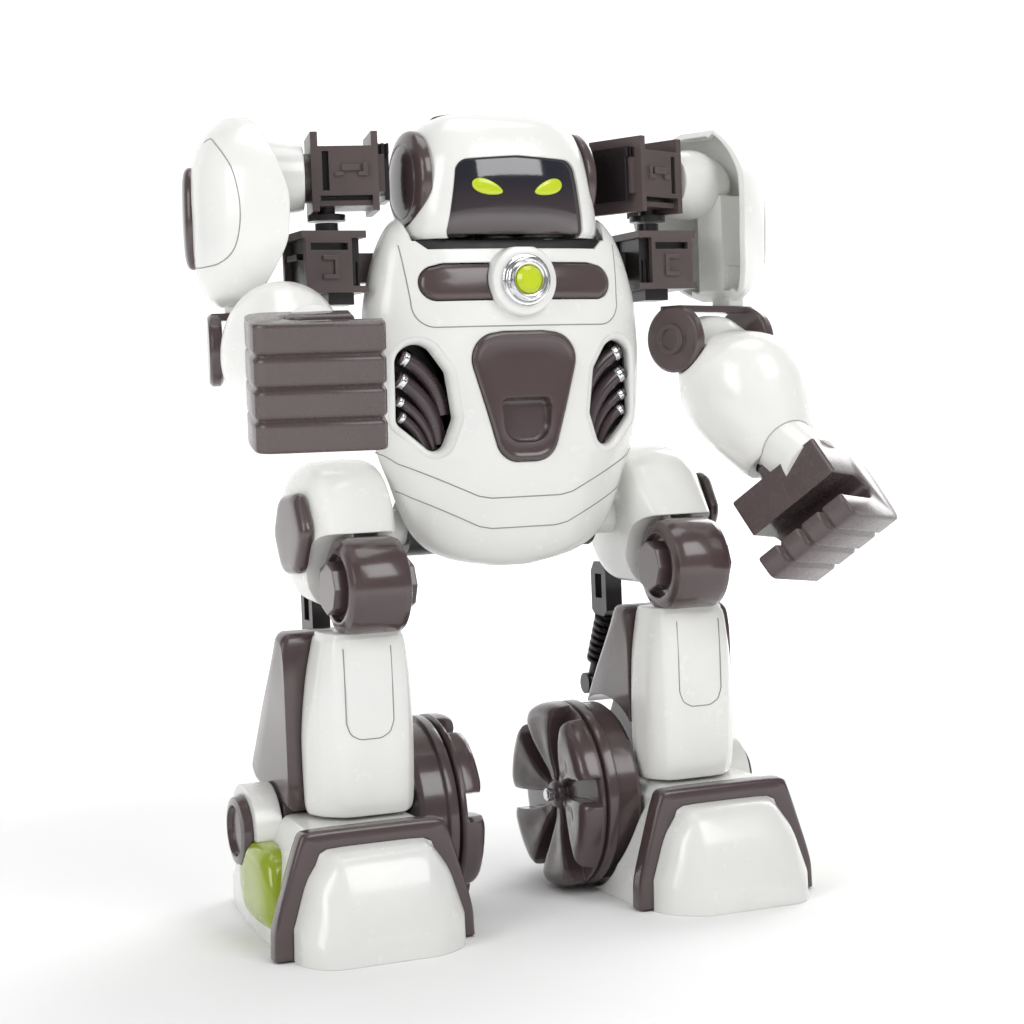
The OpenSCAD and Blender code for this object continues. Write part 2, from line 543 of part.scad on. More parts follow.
module rear_strut() {
  color(dark_c) union() {
    difference() {
      xslab(59.4, 66.6) polygon([[27, 106], [27, 122], [30, 126], [38, 126], [41, 122], [41, 106], [38, 103.6], [30, 103.6]]);
      xslab(58, 68) polygon([[31, 111], [31, 121], [37, 121], [37, 111]]);
    }
    translate([63, 34, 104]) rotate([-153, 0, 0]) {
      cylinder(r = 3, h = 32);
      for (i = [0 : 6]) translate([0, 0, 1 + i * 3.2]) rotate_extrude($fn = 32) polygon([[2.5, 0], [5, 0.5], [5, 1.9], [2.5, 2.4]]);
    }
    xslab(59.4, 66.6) polygon([[24.9, 70], [20.5, 77], [52, 77], [52, 70]]);
    xrod(58.6, 67.4, 4.4, 49, 74);
  }
}
module wheel_housing() {
  color(trim_c) difference() {
    union() {
      xturn([[0, 30], [34, 30], [wheel_r - 0.4, 31], [wheel_r, 32.4], [wheel_r, 34.6], [wheel_r - 1.6, 35.4], [wheel_r - 1.6, 43.6], [wheel_r - 3, 45.4], [0, 45.4]], axle_y, axle_z, 72);
      xrod(45.4, 64, 8.3, axle_y, axle_z);
    }
    xrod(20, 40, 4 + run, axle_y, axle_z);
  }
}
// Wheel with six claws round a plated axle
module wheel_rotor() {
  color(trim_c) difference() {
    xturn([[0, 24.6], [9, 24.6], [20, 23], [27, 20.2], [32, 19.6], [wheel_r - 1, 21], [wheel_r, 23.6], [wheel_r, 28.4], [wheel_r - 1, 29.6], [0, 29.6]], axle_y, axle_z, 72);
    for (i = [0 : 5]) translate([0, axle_y, axle_z]) rotate([i * 60 + 12, 0, 0]) translate([-axle_y * 0, 0, 0])
      xslab(15, 26.6) polygon([[3, 7.5], [-3, 7.5], [-4.6, 24], [-10.4, 40], [3.4, 40], [4, 22]]);
  }
  color(plate_c) { xrod(19.8, 24.6, 2.6, axle_y, axle_z, 24); xrod(29.6, 38, 4, axle_y, axle_z); }
}
// Foot: y, inner and outer floor edge, inner and outer top edge, top height
toe_st = [[-67, 55, 90, 58, 84, 9], [-65.6, 51, 94, 56, 85.4, 16], [-61.6, 45, 98, 53, 87.4, 28], [-57, 41, 100.4, 51.6, 88.4, 35.6], [-53, 39.4, 101.4, 51, 89.4, 37.8], [-48.6, 38.6, 102, 50.4, 90.4, 38.8]];
rear_st = [[-40, 36, 103.4, 49, 94.4, 44.4], [-20, 36, 103, 50, 93.6, 44.8], [0, 36.6, 101.4, 51, 92.6, 44.8], [26, 38, 99.4, 54, 91.6, 44.4], [44, 41, 97.2, 57, 88, 40], [56, 46, 94.6, 60, 85, 30], [62, 53, 88, 62, 80, 14]];
function foot_ring(s) = [[s[1], 0, s[0]], [s[2], 0, s[0]], [s[2] - 0.2, s[5] * 0.3, s[0]], [s[2] * 0.55 + s[4] * 0.45, s[5] * 0.72, s[0]], [s[4] + 0.6, s[5] - 2.4, s[0]], [s[4] - 2.4, s[5], s[0]], [s[3] + 2.4, s[5], s[0]], [s[3] - 0.6, s[5] - 2.4, s[0]], [s[1] * 0.55 + s[3] * 0.45, s[5] * 0.72, s[0]], [s[1] + 0.2, s[5] * 0.3, s[0]]];
// Rings are drawn in X and Z and stacked along Y
module yskin(rings) { rotate([90, 0, 0]) mirror([0, 0, 1]) skin(rings); }
module neck_2d(o) { polygon([[40 - o, 0.8], [102 + o, 0.8], [101.6 + o, 12], [91.4 + o, 37 + o], [88.6 + o, 38.4 + o], [52.4 - o, 38.4 + o], [49.6 - o, 37 + o], [40.4 - o, 12]]); }
module lamp_2d() { polygon([[-34, 11], [-31, 29], [-22, 36], [2, 35.4], [9.6, 27], [7, 11], [-3, 6.4], [-29, 6.4]]); }
module foot_base() {
  color(shell_c) difference() {
    union() {
      yskin([for (s = toe_st) foot_ring(s)]);
      yslab(-49, -39.6) difference() { neck_2d(0); translate([0, -1]) square([200, 1.8]); }
      difference() { yskin([for (s = rear_st) foot_ring(s)]); }
      // outer ear that carries the ankle
      xrod(93, 103, 17, axle_y, axle_z);
      box([93, -10, 20], [100, 22, axle_z]);
    }
    xrod(0, 47, wheel_r + 1.6, axle_y, axle_z);
    xrod(0, 63.4, 15, axle_y, axle_z);
    xrod(80, 110, 6, axle_y, axle_z);
    // well for the ankle lug
    xrod(63.4, 92.8, 15.8, axle_y, axle_z);
    box([63.4, -9.8, axle_z], [92.8, 23.4, 60]);
    xslab(97.4, 115) lamp_2d();
    // blind screw holes in the sole
    for (y = [-34, 34]) translate([75, y, -1]) cylinder(r = 1.6, h = 11);
  }
}
module foot_collar() {
  color(trim_c) yslab(-48.4, -40.2) difference() { neck_2d(6.6); neck_2d(0); translate([0, -2]) square([200, 2.7]); }
}
module foot_lamp() {
  color(lime_c) difference() {
    rotate([90, 0, 90]) skin([for (q = [[97.4, 1], [103, 1], [105.6, 0.86], [106.8, 0.6]]) [for (p = [[-29, 6.4], [-3, 6.4], [7, 11], [9.6, 27], [2, 35.4], [-22, 36], [-31, 29], [-34, 11]]) [-13 + (p[0] + 13) * q[1], 21 + (p[1] - 21) * q[1], q[0]]]]);
    xrod(90, 120, 13.6, axle_y, axle_z);
  }
}
module ankle_cap() {
  color(trim_c) difference() {
    union() {
      xturn([[0, 103], [13, 103], [13.4, 103.8], [12.4, 106.4], [9.6, 107], [9, 105.4], [0, 105.4]], axle_y, axle_z);
      xrod(80, 103, 6, axle_y, axle_z);
    }
  }
}

// ---------- named pieces ----------
module right_upper_bracket() { color(trim_c) arm(-1) upper_bracket(); }
module left_upper_bracket() { color(trim_c) arm(1) upper_bracket(); }
module right_arm_servo() { color(dark_c) arm(-1) arm_servo(); }
module left_arm_servo() { color(dark_c) arm(1) arm_servo(); }
module right_shoulder_armour() { color(shell_c) arm(-1) shoulder_armour(); }
module left_shoulder_armour() { color(shell_c) arm(1) shoulder_armour(); }
module right_shoulder_cap() { color(trim_c) arm(-1) shoulder_cap(); }
module left_shoulder_cap() { color(trim_c) arm(1) shoulder_cap(); }
module right_elbow_fork() { color(trim_c) arm(-1) elbow_fork(); }
module left_elbow_fork() { color(trim_c) arm(1) elbow_fork(); }
module right_forearm_shell() { color(shell_c) arm(-1) forearm_shell(-1); }
module left_forearm_shell() { color(shell_c) arm(1) forearm_shell(1); }
module right_fist() { color(trim_c) arm(-1) fist(-1); }
module left_fist() { color(trim_c) arm(1) fist(1); }

// ---------- legs, left and right ----------
module left_thigh_shell() { thigh_shell(); }
module right_thigh_shell() { mirror([1, 0, 0]) thigh_shell(); }
module left_hip_cap() { hip_cap(); }
module right_hip_cap() { mirror([1, 0, 0]) hip_cap(); }
module left_knee_pin() { knee_pin(); }
module right_knee_pin() { mirror([1, 0, 0]) knee_pin(); }
module left_knee_drum() { knee_drum(); }
module right_knee_drum() { mirror([1, 0, 0]) knee_drum(); }
module left_shin_shell() { shin_shell(); }
module right_shin_shell() { mirror([1, 0, 0]) shin_shell(); }
module left_shin_panels() { shin_panels(); }
module right_shin_panels() { mirror([1, 0, 0]) shin_panels(); }
module left_rear_strut() { rear_strut(); }
module right_rear_strut() { mirror([1, 0, 0]) rear_strut(); }
module left_wheel_housing() { wheel_housing(); }
module right_wheel_housing() { mirror([1, 0, 0]) wheel_housing(); }
module left_wheel_rotor() { wheel_rotor(); }
module right_wheel_rotor() { mirror([1, 0, 0]) wheel_rotor(); }
module left_foot_base() { foot_base(); }
module right_foot_base() { mirror([1, 0, 0]) foot_base(); }
module left_foot_collar() { foot_collar(); }
module right_foot_collar() { mirror([1, 0, 0]) foot_collar(); }
module left_foot_lamp() { foot_lamp(); }
module right_foot_lamp() { mirror([1, 0, 0]) foot_lamp(); }
module left_ankle_cap() { ankle_cap(); }
module right_ankle_cap() { mirror([1, 0, 0]) ankle_cap(); }

torso_front_shell();
torso_back_shell();
chassis_frame();
chest_bar();
button_bezel();
belly_panel();
collar_tray();
vent_hoses();
battery_pack();
circuit_board();
battery_cover();
body_screws();
lower_brackets();
lower_servos();
chest_button();
head_shell();
visor();
eye_lenses();
head_trim();
neck_post();
right_upper_bracket();
right_arm_servo();
right_shoulder_armour();
right_shoulder_cap();
right_elbow_fork();
right_forearm_shell();
right_fist();
left_upper_bracket();
left_arm_servo();
left_shoulder_armour();
left_shoulder_cap();
left_elbow_fork();
left_forearm_shell();
left_fist();
right_thigh_shell();
right_hip_cap();
right_knee_pin();
right_knee_drum();
right_shin_shell();
right_shin_panels();
right_rear_strut();
right_wheel_housing();
right_wheel_rotor();
right_foot_base();
right_foot_collar();
right_foot_lamp();
right_ankle_cap();
left_thigh_shell();
left_hip_cap();
left_knee_pin();
left_knee_drum();
left_shin_shell();
left_shin_panels();
left_rear_strut();
left_wheel_housing();
left_wheel_rotor();
left_foot_base();
left_foot_collar();
left_foot_lamp();
left_ankle_cap();
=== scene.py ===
import math, bpy, bmesh
import numpy as np
from mathutils import Matrix, Vector


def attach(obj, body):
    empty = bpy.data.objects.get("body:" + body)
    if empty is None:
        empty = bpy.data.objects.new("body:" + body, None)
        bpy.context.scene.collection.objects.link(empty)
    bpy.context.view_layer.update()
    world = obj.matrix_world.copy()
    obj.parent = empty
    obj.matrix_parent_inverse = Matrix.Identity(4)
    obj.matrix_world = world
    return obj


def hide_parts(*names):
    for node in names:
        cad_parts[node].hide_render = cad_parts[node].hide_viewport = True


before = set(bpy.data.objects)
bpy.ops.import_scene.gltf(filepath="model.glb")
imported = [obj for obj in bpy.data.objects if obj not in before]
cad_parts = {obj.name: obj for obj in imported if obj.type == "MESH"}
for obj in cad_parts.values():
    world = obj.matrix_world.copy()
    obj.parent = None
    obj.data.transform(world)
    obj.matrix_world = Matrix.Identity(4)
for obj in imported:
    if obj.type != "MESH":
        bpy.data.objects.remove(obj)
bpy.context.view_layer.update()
MM = 0.001
SC = bpy.context.scene
pi = math.pi

# ---------------------------------------------------------------- materials
def principled(name, base, rough, metal=0.0, coat=0.0, bevel=0.0005, speck=0.0, speck_scale=1600.0, rvar=0.06, tint=None, painted_reflection_z=None, trans=0.0, emit=0.0, wear=0.0, brush=False, ior=1.5, sss=0.0, grain=1.0):
    m = bpy.data.materials.new(name)
    m.use_nodes = True
    nt = m.node_tree
    n = nt.nodes
    l = nt.links
    for x in list(n):
        n.remove(x)
    out = n.new("ShaderNodeOutputMaterial")
    b = n.new("ShaderNodeBsdfPrincipled")
    l.new(b.outputs[0], out.inputs[0])
    b.inputs["Metallic"].default_value = metal
    b.inputs["IOR"].default_value = ior
    b.inputs["Coat Weight"].default_value = coat
    b.inputs["Coat Roughness"].default_value = 0.06
    b.inputs["Transmission Weight"].default_value = trans
    if sss:
        b.inputs["Subsurface Weight"].default_value = sss
        b.inputs["Subsurface Radius"].default_value = (0.002, 0.002, 0.0018)
        b.inputs["Subsurface Scale"].default_value = 1.0
    tc = n.new("ShaderNodeTexCoord")
    # broad handling marks and fine moulding grain
    big = n.new("ShaderNodeTexNoise"); big.inputs["Scale"].default_value = 28.0; big.inputs["Detail"].default_value = 4.0
    fine = n.new("ShaderNodeTexNoise"); fine.inputs["Scale"].default_value = speck_scale; fine.inputs["Detail"].default_value = 2.0
    mid = n.new("ShaderNodeTexNoise"); mid.inputs["Scale"].default_value = 140.0; mid.inputs["Detail"].default_value = 6.0; mid.inputs["Roughness"].default_value = 0.7
    for t in (big, fine, mid):
        l.new(tc.outputs["Object"], t.inputs["Vector"])
    if brush:
        mp = n.new("ShaderNodeMapping"); mp.inputs["Scale"].default_value = (40.0, 1.0, 40.0)
        l.new(tc.outputs["Object"], mp.inputs["Vector"]); l.new(mp.outputs[0], fine.inputs["Vector"])
    rr = n.new("ShaderNodeMapRange")
    rr.inputs["From Min"].default_value = 0.35; rr.inputs["From Max"].default_value = 0.7
    rr.inputs["To Min"].default_value = max(0.02, rough - rvar); rr.inputs["To Max"].default_value = rough + rvar
    l.new(mid.outputs["Fac"], rr.inputs["Value"])
    l.new(rr.outputs[0], b.inputs["Roughness"])
    col = n.new("ShaderNodeMix"); col.data_type = "RGBA"
    col.inputs["A"].default_value = (*base, 1)
    t = tint if tint else tuple(c * 0.88 for c in base)
    col.inputs["B"].default_value = (*t, 1)
    cr = n.new("ShaderNodeMapRange")
    cr.inputs["From Min"].default_value = 0.42; cr.inputs["From Max"].default_value = 0.72
    l.new(big.outputs["Fac"], cr.inputs["Value"])
    l.new(cr.outputs[0], col.inputs["Factor"])
    last = col.outputs["Result"]
    # painted reflection: the colour is blended by height, brown at the bottom and navy at the top, standing in for the
    # surroundings mirrored in the lens
    if painted_reflection_z:
        sep = n.new("ShaderNodeSeparateXYZ"); l.new(tc.outputs["Object"], sep.inputs[0])
        zr = n.new("ShaderNodeMapRange")
        zr.inputs["From Min"].default_value = painted_reflection_z[0]; zr.inputs["From Max"].default_value = painted_reflection_z[1]
        zr.interpolation_type = "SMOOTHSTEP"
        l.new(sep.outputs[2], zr.inputs["Value"])
        zc = n.new("ShaderNodeMix"); zc.data_type = "RGBA"
        zc.inputs["A"].default_value = (*painted_reflection_z[2], 1); zc.inputs["B"].default_value = (*painted_reflection_z[3], 1)
        l.new(zr.outputs[0], zc.inputs["Factor"]); last = zc.outputs["Result"]
    if speck:
        sr = n.new("ShaderNodeMapRange")
        sr.inputs["From Min"].default_value = 0.66; sr.inputs["From Max"].default_value = 0.78
        sr.inputs["To Max"].default_value = speck
        l.new(fine.outputs["Fac"], sr.inputs["Value"])
        sm = n.new("ShaderNodeMix"); sm.data_type = "RGBA"
        sm.inputs["B"].default_value = (*[c * 0.6 for c in base], 1)
        l.new(sr.outputs[0], sm.inputs["Factor"]); l.new(last, sm.inputs["A"]); last = sm.outputs["Result"]
    if wear:
        geo = n.new("ShaderNodeNewGeometry")
        wr = n.new("ShaderNodeMapRange")
        wr.inputs["From Min"].default_value = 0.52; wr.inputs["From Max"].default_value = 0.6
        wr.inputs["To Max"].default_value = wear
        l.new(geo.outputs["Pointiness"], wr.inputs["Value"])
        wm = n.new("ShaderNodeMix"); wm.data_type = "RGBA"
        wm.inputs["B"].default_value = (*[min(1.0, c * 2.2 + 0.02) for c in base], 1)
        l.new(wr.outputs[0], wm.inputs["Factor"]); l.new(last, wm.inputs["A"]); last = wm.outputs["Result"]
    l.new(last, b.inputs["Base Color"])
    if emit:
        l.new(last, b.inputs["Emission Color"]); b.inputs["Emission Strength"].default_value = emit
    # orange-peel and grain in the surface, over softened edges
    bump = n.new("ShaderNodeBump"); bump.inputs["Strength"].default_value = 0.05 * grain; bump.inputs["Distance"].default_value = 0.0002
    l.new(mid.outputs["Fac"], bump.inputs["Height"])
    bump2 = n.new("ShaderNodeBump"); bump2.inputs["Strength"].default_value = 0.05 * grain; bump2.inputs["Distance"].default_value = 0.0001
    l.new(fine.outputs["Fac"], bump2.inputs["Height"]); l.new(bump.outputs[0], bump2.inputs["Normal"])
    if bevel:
        bv = n.new("ShaderNodeBevel"); bv.samples = 4; bv.inputs["Radius"].default_value = bevel
        l.new(bv.outputs[0], bump.inputs["Normal"])
    l.new(bump2.outputs[0], b.inputs["Normal"])
    l.new(bump2.outputs[0], b.inputs["Coat Normal"])
    return m

SHELL = principled("shell_abs", (0.83, 0.83, 0.805), 0.24, coat=0.25, bevel=0.0009, speck=0.10, speck_scale=1500, tint=(0.79, 0.795, 0.775), sss=0.05)
TRIM = principled("trim_gloss", (0.080, 0.054, 0.056), 0.20, coat=0.35, bevel=0.0009, tint=(0.072, 0.048, 0.050), rvar=0.03, grain=0.25)
FIST = principled("fist_satin", (0.084, 0.060, 0.061), 0.27, coat=0.2, bevel=0.0010, tint=(0.075, 0.053, 0.054), rvar=0.04, grain=0.4)
BRACKET = principled("bracket_satin", (0.082, 0.060, 0.060), 0.36, coat=0.08, bevel=0.0004, tint=(0.068, 0.05, 0.05), wear=0.08)
DARK = principled("servo_black", (0.012, 0.009, 0.010), 0.33, coat=0.15, bevel=0.0004, tint=(0.008, 0.006, 0.007), wear=0.05)
# near black, used for the collar tray and, as painted shade, for the sheets behind the vents
BLACK_AND_SHADE = principled("black_and_painted_shade", (0.006, 0.005, 0.006), 0.5, bevel=0)
HOSE = principled("hose_gloss", (0.060, 0.040, 0.045), 0.24, coat=0.3, bevel=0, tint=(0.045, 0.030, 0.034))
# painted glow: a slight emission makes the eye lenses and the chest button look lit
LIME = principled("lime_lens", (0.50, 0.60, 0.015), 0.2, coat=0.5, bevel=0.0003, tint=(0.43, 0.54, 0.012), emit=0.10)
LAMP = principled("lime_lamp", (0.44, 0.55, 0.03), 0.22, coat=0.5, bevel=0.0006, tint=(0.35, 0.46, 0.02), trans=0.35, emit=0.06, sss=0.2)
CHROME = principled("plated", (0.80, 0.80, 0.82), 0.10, metal=1.0, bevel=0.0003, brush=True, rvar=0.04)
# the visor's colour is a painted reflection: brown low down, navy higher up
VISOR = principled("visor_smoke_painted_reflection", (0.02, 0.015, 0.02), 0.10, coat=1.0, bevel=0.0003, rvar=0.03, painted_reflection_z=(0.256, 0.279, (0.050, 0.034, 0.036), (0.007, 0.007, 0.016)))
BOARD = principled("board_green", (0.02, 0.12, 0.05), 0.4, coat=0.3, bevel=0)
CELL = principled("cell_wrap", (0.06, 0.14, 0.26), 0.3, coat=0.2, bevel=0)
# painted shade: grey for the panel-line tubes, standing in for the shade inside the grooves
GROOVE_SHADE = principled("groove_painted_shade", (0.30, 0.30, 0.285), 0.6, bevel=0)
SEAM = principled("seam_dark", (0.05, 0.045, 0.045), 0.6, bevel=0)

# ---------------------------------------------------------------- mesh tools (millimetres in, metres out)
def mesh_obj(name, verts, faces, smooth=True):
    me = bpy.data.meshes.new(name)
    me.from_pydata([tuple(float(c) * MM for c in v) for v in verts], [], [tuple(f) for f in faces])
    me.validate()
    bm = bmesh.new(); bm.from_mesh(me)
    bmesh.ops.remove_doubles(bm, verts=bm.verts, dist=1e-7)
    bmesh.ops.recalc_face_normals(bm, faces=bm.faces)
    bm.to_mesh(me); bm.free()
    o = bpy.data.objects.new(name, me)
    SC.collection.objects.link(o)
    if smooth:
        me.polygons.foreach_set("use_smooth", [True] * len(me.polygons))
    return o

def loft(name, rings, closed=True, caps=True):
    m, n = len(rings), len(rings[0])
    v = [p for r in rings for p in r]
    f = []
    for j in range(m - 1):
        for i in range(n if closed else n - 1):
            k = (i + 1) % n
            f.append((j * n + i, j * n + k, (j + 1) * n + k, (j + 1) * n + i))
    if caps:
        for j, rev in ((0, True), (m - 1, False)):
            r = list(range(j * n, j * n + n))
            f.append(tuple(reversed(r)) if rev else tuple(r))
    return mesh_obj(name, v, f)

def join(o, *others):
    bm = bmesh.new(); bm.from_mesh(o.data)
    for x in others:
        bm.from_mesh(x.data)
        bpy.data.objects.remove(x)
    bm.to_mesh(o.data); bm.free()
    return o

def boolean(a, b, op="DIFFERENCE", keep=False):
    md = a.modifiers.new("b", "BOOLEAN"); md.operation = op; md.object = b; md.solver = "EXACT"
    dg = bpy.context.evaluated_depsgraph_get()
    me = bpy.data.meshes.new_from_object(a.evaluated_get(dg))
    a.modifiers.clear()
    old = a.data; a.data = me; bpy.data.meshes.remove(old)
    if not keep:
        bpy.data.objects.remove(b)
    return a

def finish_mesh(o, mat, angle=32):
    me = o.data
    me.materials.clear(); me.materials.append(mat)
    me.polygons.foreach_set("material_index", [0] * len(me.polygons))
    me.polygons.foreach_set("use_smooth", [True] * len(me.polygons))
    me.set_sharp_from_angle(angle=math.radians(angle))
    return o

def pchip(x, y, xs):
    x = np.asarray(x, float); y = np.asarray(y, float)
    h = np.diff(x); d = np.diff(y) / h
    m = np.zeros_like(y)
    for i in range(1, len(x) - 1):
        if d[i - 1] * d[i] > 0:
            w1, w2 = 2 * h[i] + h[i - 1], h[i] + 2 * h[i - 1]
            m[i] = (w1 + w2) / (w1 / d[i - 1] + w2 / d[i])
    m[0], m[-1] = d[0], d[-1]
    k = np.clip(np.searchsorted(x, xs) - 1, 0, len(x) - 2)
    t = (xs - x[k]) / h[k]
    return ((1 + 2 * t) * (1 - t) ** 2 * y[k] + t * (1 - t) ** 2 * h[k] * m[k] + t * t * (3 - 2 * t) * y[k + 1] + t * t * (t - 1) * h[k] * m[k + 1])

def dense(st, k=6):
    st = np.asarray(st, float)
    p = np.arange(len(st)); q = np.linspace(0, len(st) - 1, (len(st) - 1) * k + 1)
    return np.column_stack([pchip(p, st[:, c], q) for c in range(st.shape[1])])

def pw(v, e):
    return math.copysign(abs(v) ** e, v)

def ring(z, a, yf, ym, yb, ef=2.4, eb=2.2, n=128):
    r = []
    for i in range(n):
        t = 2 * pi * i / n
        c, s = math.cos(t), math.sin(t)
        e = ef if s < 0 else eb
        r.append((a * pw(c, 2 / e), ym + ((ym - yf) if s < 0 else (yb - ym)) * pw(s, 2 / e), z))
    return r

def turn(name, prof, y, z, n=96, axis="x", x=0.0):
    v, f = [], []
    m = len(prof)
    for i in range(n):
        t = 2 * pi * i / n
        for r, u in prof:
            if axis == "x":
                v.append((u, y + r * math.cos(t), z + r * math.sin(t)))
            elif axis == "y":
                v.append((x + r * math.cos(t), u, z + r * math.sin(t)))
            else:
                v.append((x + r * math.cos(t), y + r * math.sin(t), u))
    for i in range(n):
        k = (i + 1) % n
        for j in range(m - 1):
            f.append((i * m + j, i * m + j + 1, k * m + j + 1, k * m + j))
    return mesh_obj(name, v, f)

def rod(a0, a1, r, p, q, axis="x", n=96, x=0.0):
    prof = [(0, a0), (r, a0), (r, a1), (0, a1)]
    return turn("rod", prof, p, q, n=n, axis=axis, x=x)

def box(a, b):
    v = [(x, y, z) for x in (a[0], b[0]) for y in (a[1], b[1]) for z in (a[2], b[2])]
    f = [(0, 1, 3, 2), (4, 6, 7, 5), (0, 4, 5, 1), (2, 3, 7, 6), (0, 2, 6, 4), (1, 5, 7, 3)]
    return mesh_obj("box", v, f, smooth=False)

def hull2(circles, n=64):
    pts = []
    for cx, cz, r in circles:
        for i in range(n):
            t = 2 * pi * i / n
            pts.append((cx + r * math.cos(t), cz + r * math.sin(t)))
    pts = sorted(set((round(a, 5), round(b, 5)) for a, b in pts))
    def half(ps):
        h = []
        for p in ps:
            while len(h) > 1 and (h[-1][0] - h[-2][0]) * (p[1] - h[-2][1]) - (h[-1][1] - h[-2][1]) * (p[0] - h[-2][0]) <= 1e-9:
                h.pop()
            h.append(p)
        return h
    a, b = half(pts), half(pts[::-1])
    return a[:-1] + b[:-1]

def even(poly, n):
    p = np.array(poly + [poly[0]], float)
    d = np.r_[0, np.cumsum(np.linalg.norm(np.diff(p, axis=0), axis=1))]
    s = np.linspace(0, d[-1], n, endpoint=False)
    return [(float(np.interp(t, d, p[:, 0])), float(np.interp(t, d, p[:, 1]))) for t in s]

def yprism(poly, y0, y1):
    n = len(poly)
    v = [(a, y0, b) for a, b in poly] + [(a, y1, b) for a, b in poly]
    f = [(i, (i + 1) % n, n + (i + 1) % n, n + i) for i in range(n)] + [tuple(range(n))[::-1], tuple(range(n, 2 * n))]
    return mesh_obj("prism", v, f)

def xprism(poly, x0, x1):
    n = len(poly)
    v = [(x0, a, b) for a, b in poly] + [(x1, a, b) for a, b in poly]
    f = [(i, (i + 1) % n, n + (i + 1) % n, n + i) for i in range(n)] + [tuple(range(n))[::-1], tuple(range(n, 2 * n))]
    return mesh_obj("prism", v, f)

def mirx(poly):
    return [(-a, b) for a, b in reversed(poly)]

def tube(name, pts, r, mat, n=10, closed=False, rr=None):
    P = [Vector(p) for p in pts]
    m = len(P)
    v, f = [], []
    prev = None
    for i in range(m):
        a = P[(i - 1) % m] if (closed or i) else P[i]
        b = P[(i + 1) % m] if (closed or i < m - 1) else P[i]
        t = (b - a).normalized()
        if prev is None:
            up = Vector((0, 0, 1)) if abs(t.z) < 0.9 else Vector((1, 0, 0))
            u = t.cross(up).normalized()
        else:
            u = (prev - t * prev.dot(t)).normalized()
        prev = u
        w = t.cross(u)
        q = r if rr is None else rr[i]
        for k in range(n):
            an = 2 * pi * k / n
            v.append(P[i] + u * (q * math.cos(an)) + w * (q * math.sin(an)))
    for i in range(m if closed else m - 1):
        j = (i + 1) % m
        for k in range(n):
            l = (k + 1) % n
            f.append((i * n + k, i * n + l, j * n + l, j * n + k))
    if not closed:
        f.append(tuple(range(n))[::-1]); f.append(tuple(range((m - 1) * n, m * n)))
    o = mesh_obj(name, v, f)
    return finish_mesh(o, mat, 50)

def move(o, M):
    o.data.transform(M)
    if M.determinant() < 0:
        o.data.flip_normals()
    return o

def T(x, y, z):
    return Matrix.Translation(Vector((x, y, z)) * MM)

def R(deg, ax):
    return Matrix.Rotation(math.radians(deg), 4, ax)

MX = Matrix.Diagonal((-1, 1, 1, 1))
HIP_Z, KNEE_Z, KNEE_Y, AX_Z, AX_Y = 147.0, 128.5, -33.0, 37.5, 6.0
SX, FX, PY, SWY, SWZ, EY, EZ = 66.0, 86.5, -8.0, -10.0, 277.0, -22.0, 215.0
YAW = {1: 24.0, -1: 13.0}
BEND = {1: 37.0, -1: 81.0}
ROLL = {1: 11.0, -1: 0.0}
HDX = {1: -4.0, -1: -1.0}
SEAM_Y, NECK_Y, WALL = -12.0, -10.0, 2.0
SIDE = {1: "left", -1: "right"}

def arm_m(s):
    m = T(SX, PY, 0) @ R(YAW[s], "Z") @ T(-SX, -PY, 0)
    return m if s > 0 else MX @ m

def fore_m(s):
    return arm_m(s) @ T(0, EY, EZ) @ R(-BEND[s], "X")

def put(o, mat, body, nodes=(), name=None, angle=32):
    finish_mesh(o, mat, angle)
    if name:
        o.name = name
    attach(o, body)
    if nodes:
        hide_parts(*nodes)
    return o

# ---------------------------------------------------------------- torso
FRONT = dense([[131.5, 9, -19], [134, 22, -21.5], [139, 33.5, -25], [146, 40, -28.5], [154, 43.8, -31], [164, 47.2, -33],
  [176, 51.6, -34.3], [192, 54.6, -35], [210, 55.6, -34.8], [226, 55.2, -33.8], [237, 53.4, -32.4], [246, 51, -30.8],
  [252.6, 48.4, -29.2], [257, 46, -27], [261, 42.6, -23.4], [263.4, 37.6, -19]])
BACK = dense([[134, 20, 12], [139, 29, 19], [146, 36, 26], [156, 40.5, 32], [170, 43.6, 35.5], [190, 46, 37.5],
  [215, 47, 38], [235, 46.5, 36.5], [248, 45, 33.4], [256, 43, 29.4], [261, 39.6, 24.6], [263.4, 35, 19]])

def torso_loft(o):
    return loft("tl", [ring(s[0] + (-o if s[0] < 140 else o if s[0] > 256 else 0), s[1] + o, s[2] - o, SEAM_Y, SEAM_Y + 6, 2.4, 2.2) for s in FRONT])

def back_loft(o):
    return loft("bl", [ring(s[0] + (-o if s[0] < 140 else o if s[0] > 256 else 0), s[1] + o, SEAM_Y - 6, SEAM_Y, s[2] + o, 2.2, 2.1) for s in BACK])

def front_y(x, z, o=0.0):
    a = float(np.interp(z, FRONT[:, 0], FRONT[:, 1])) + o
    yf = float(np.interp(z, FRONT[:, 0], FRONT[:, 2])) - o
    q = max(0.0, 1 - min(1.0, abs(x) / a) ** 2.4) ** (1 / 2.4)
    return SEAM_Y - (SEAM_Y - yf) * q

SHIELD = [(-11, 208.5, 10), (11, 208.5, 10), (-3.5, 179.8, 9.2), (3.5, 179.8, 9.2), (-8, 214.8, 4.2), (8, 214.8, 4.2)]
shield = hull2(SHIELD)
bar = hull2([(-32, 237, 6.6), (32, 237, 6.6), (-29, 242, 2.4), (29, 242, 2.4)])
VENT = [(40.4, 208, 7), (33.5, 203, 4), (43.4, 188, 4), (34.6, 180, 4.2), (30.5, 188, 3)]
vent = hull2(VENT)

def grown(circles, g):
    return hull2([(a, b, r + g) for a, b, r in circles])

def lip_poly(o):
    return [(-37.6 - o, 253), (-33.6 - o, 249.8 - o), (33.6 + o, 249.8 - o), (37.6 + o, 253), (37.6 + o, 275), (-37.6 - o, 275)]

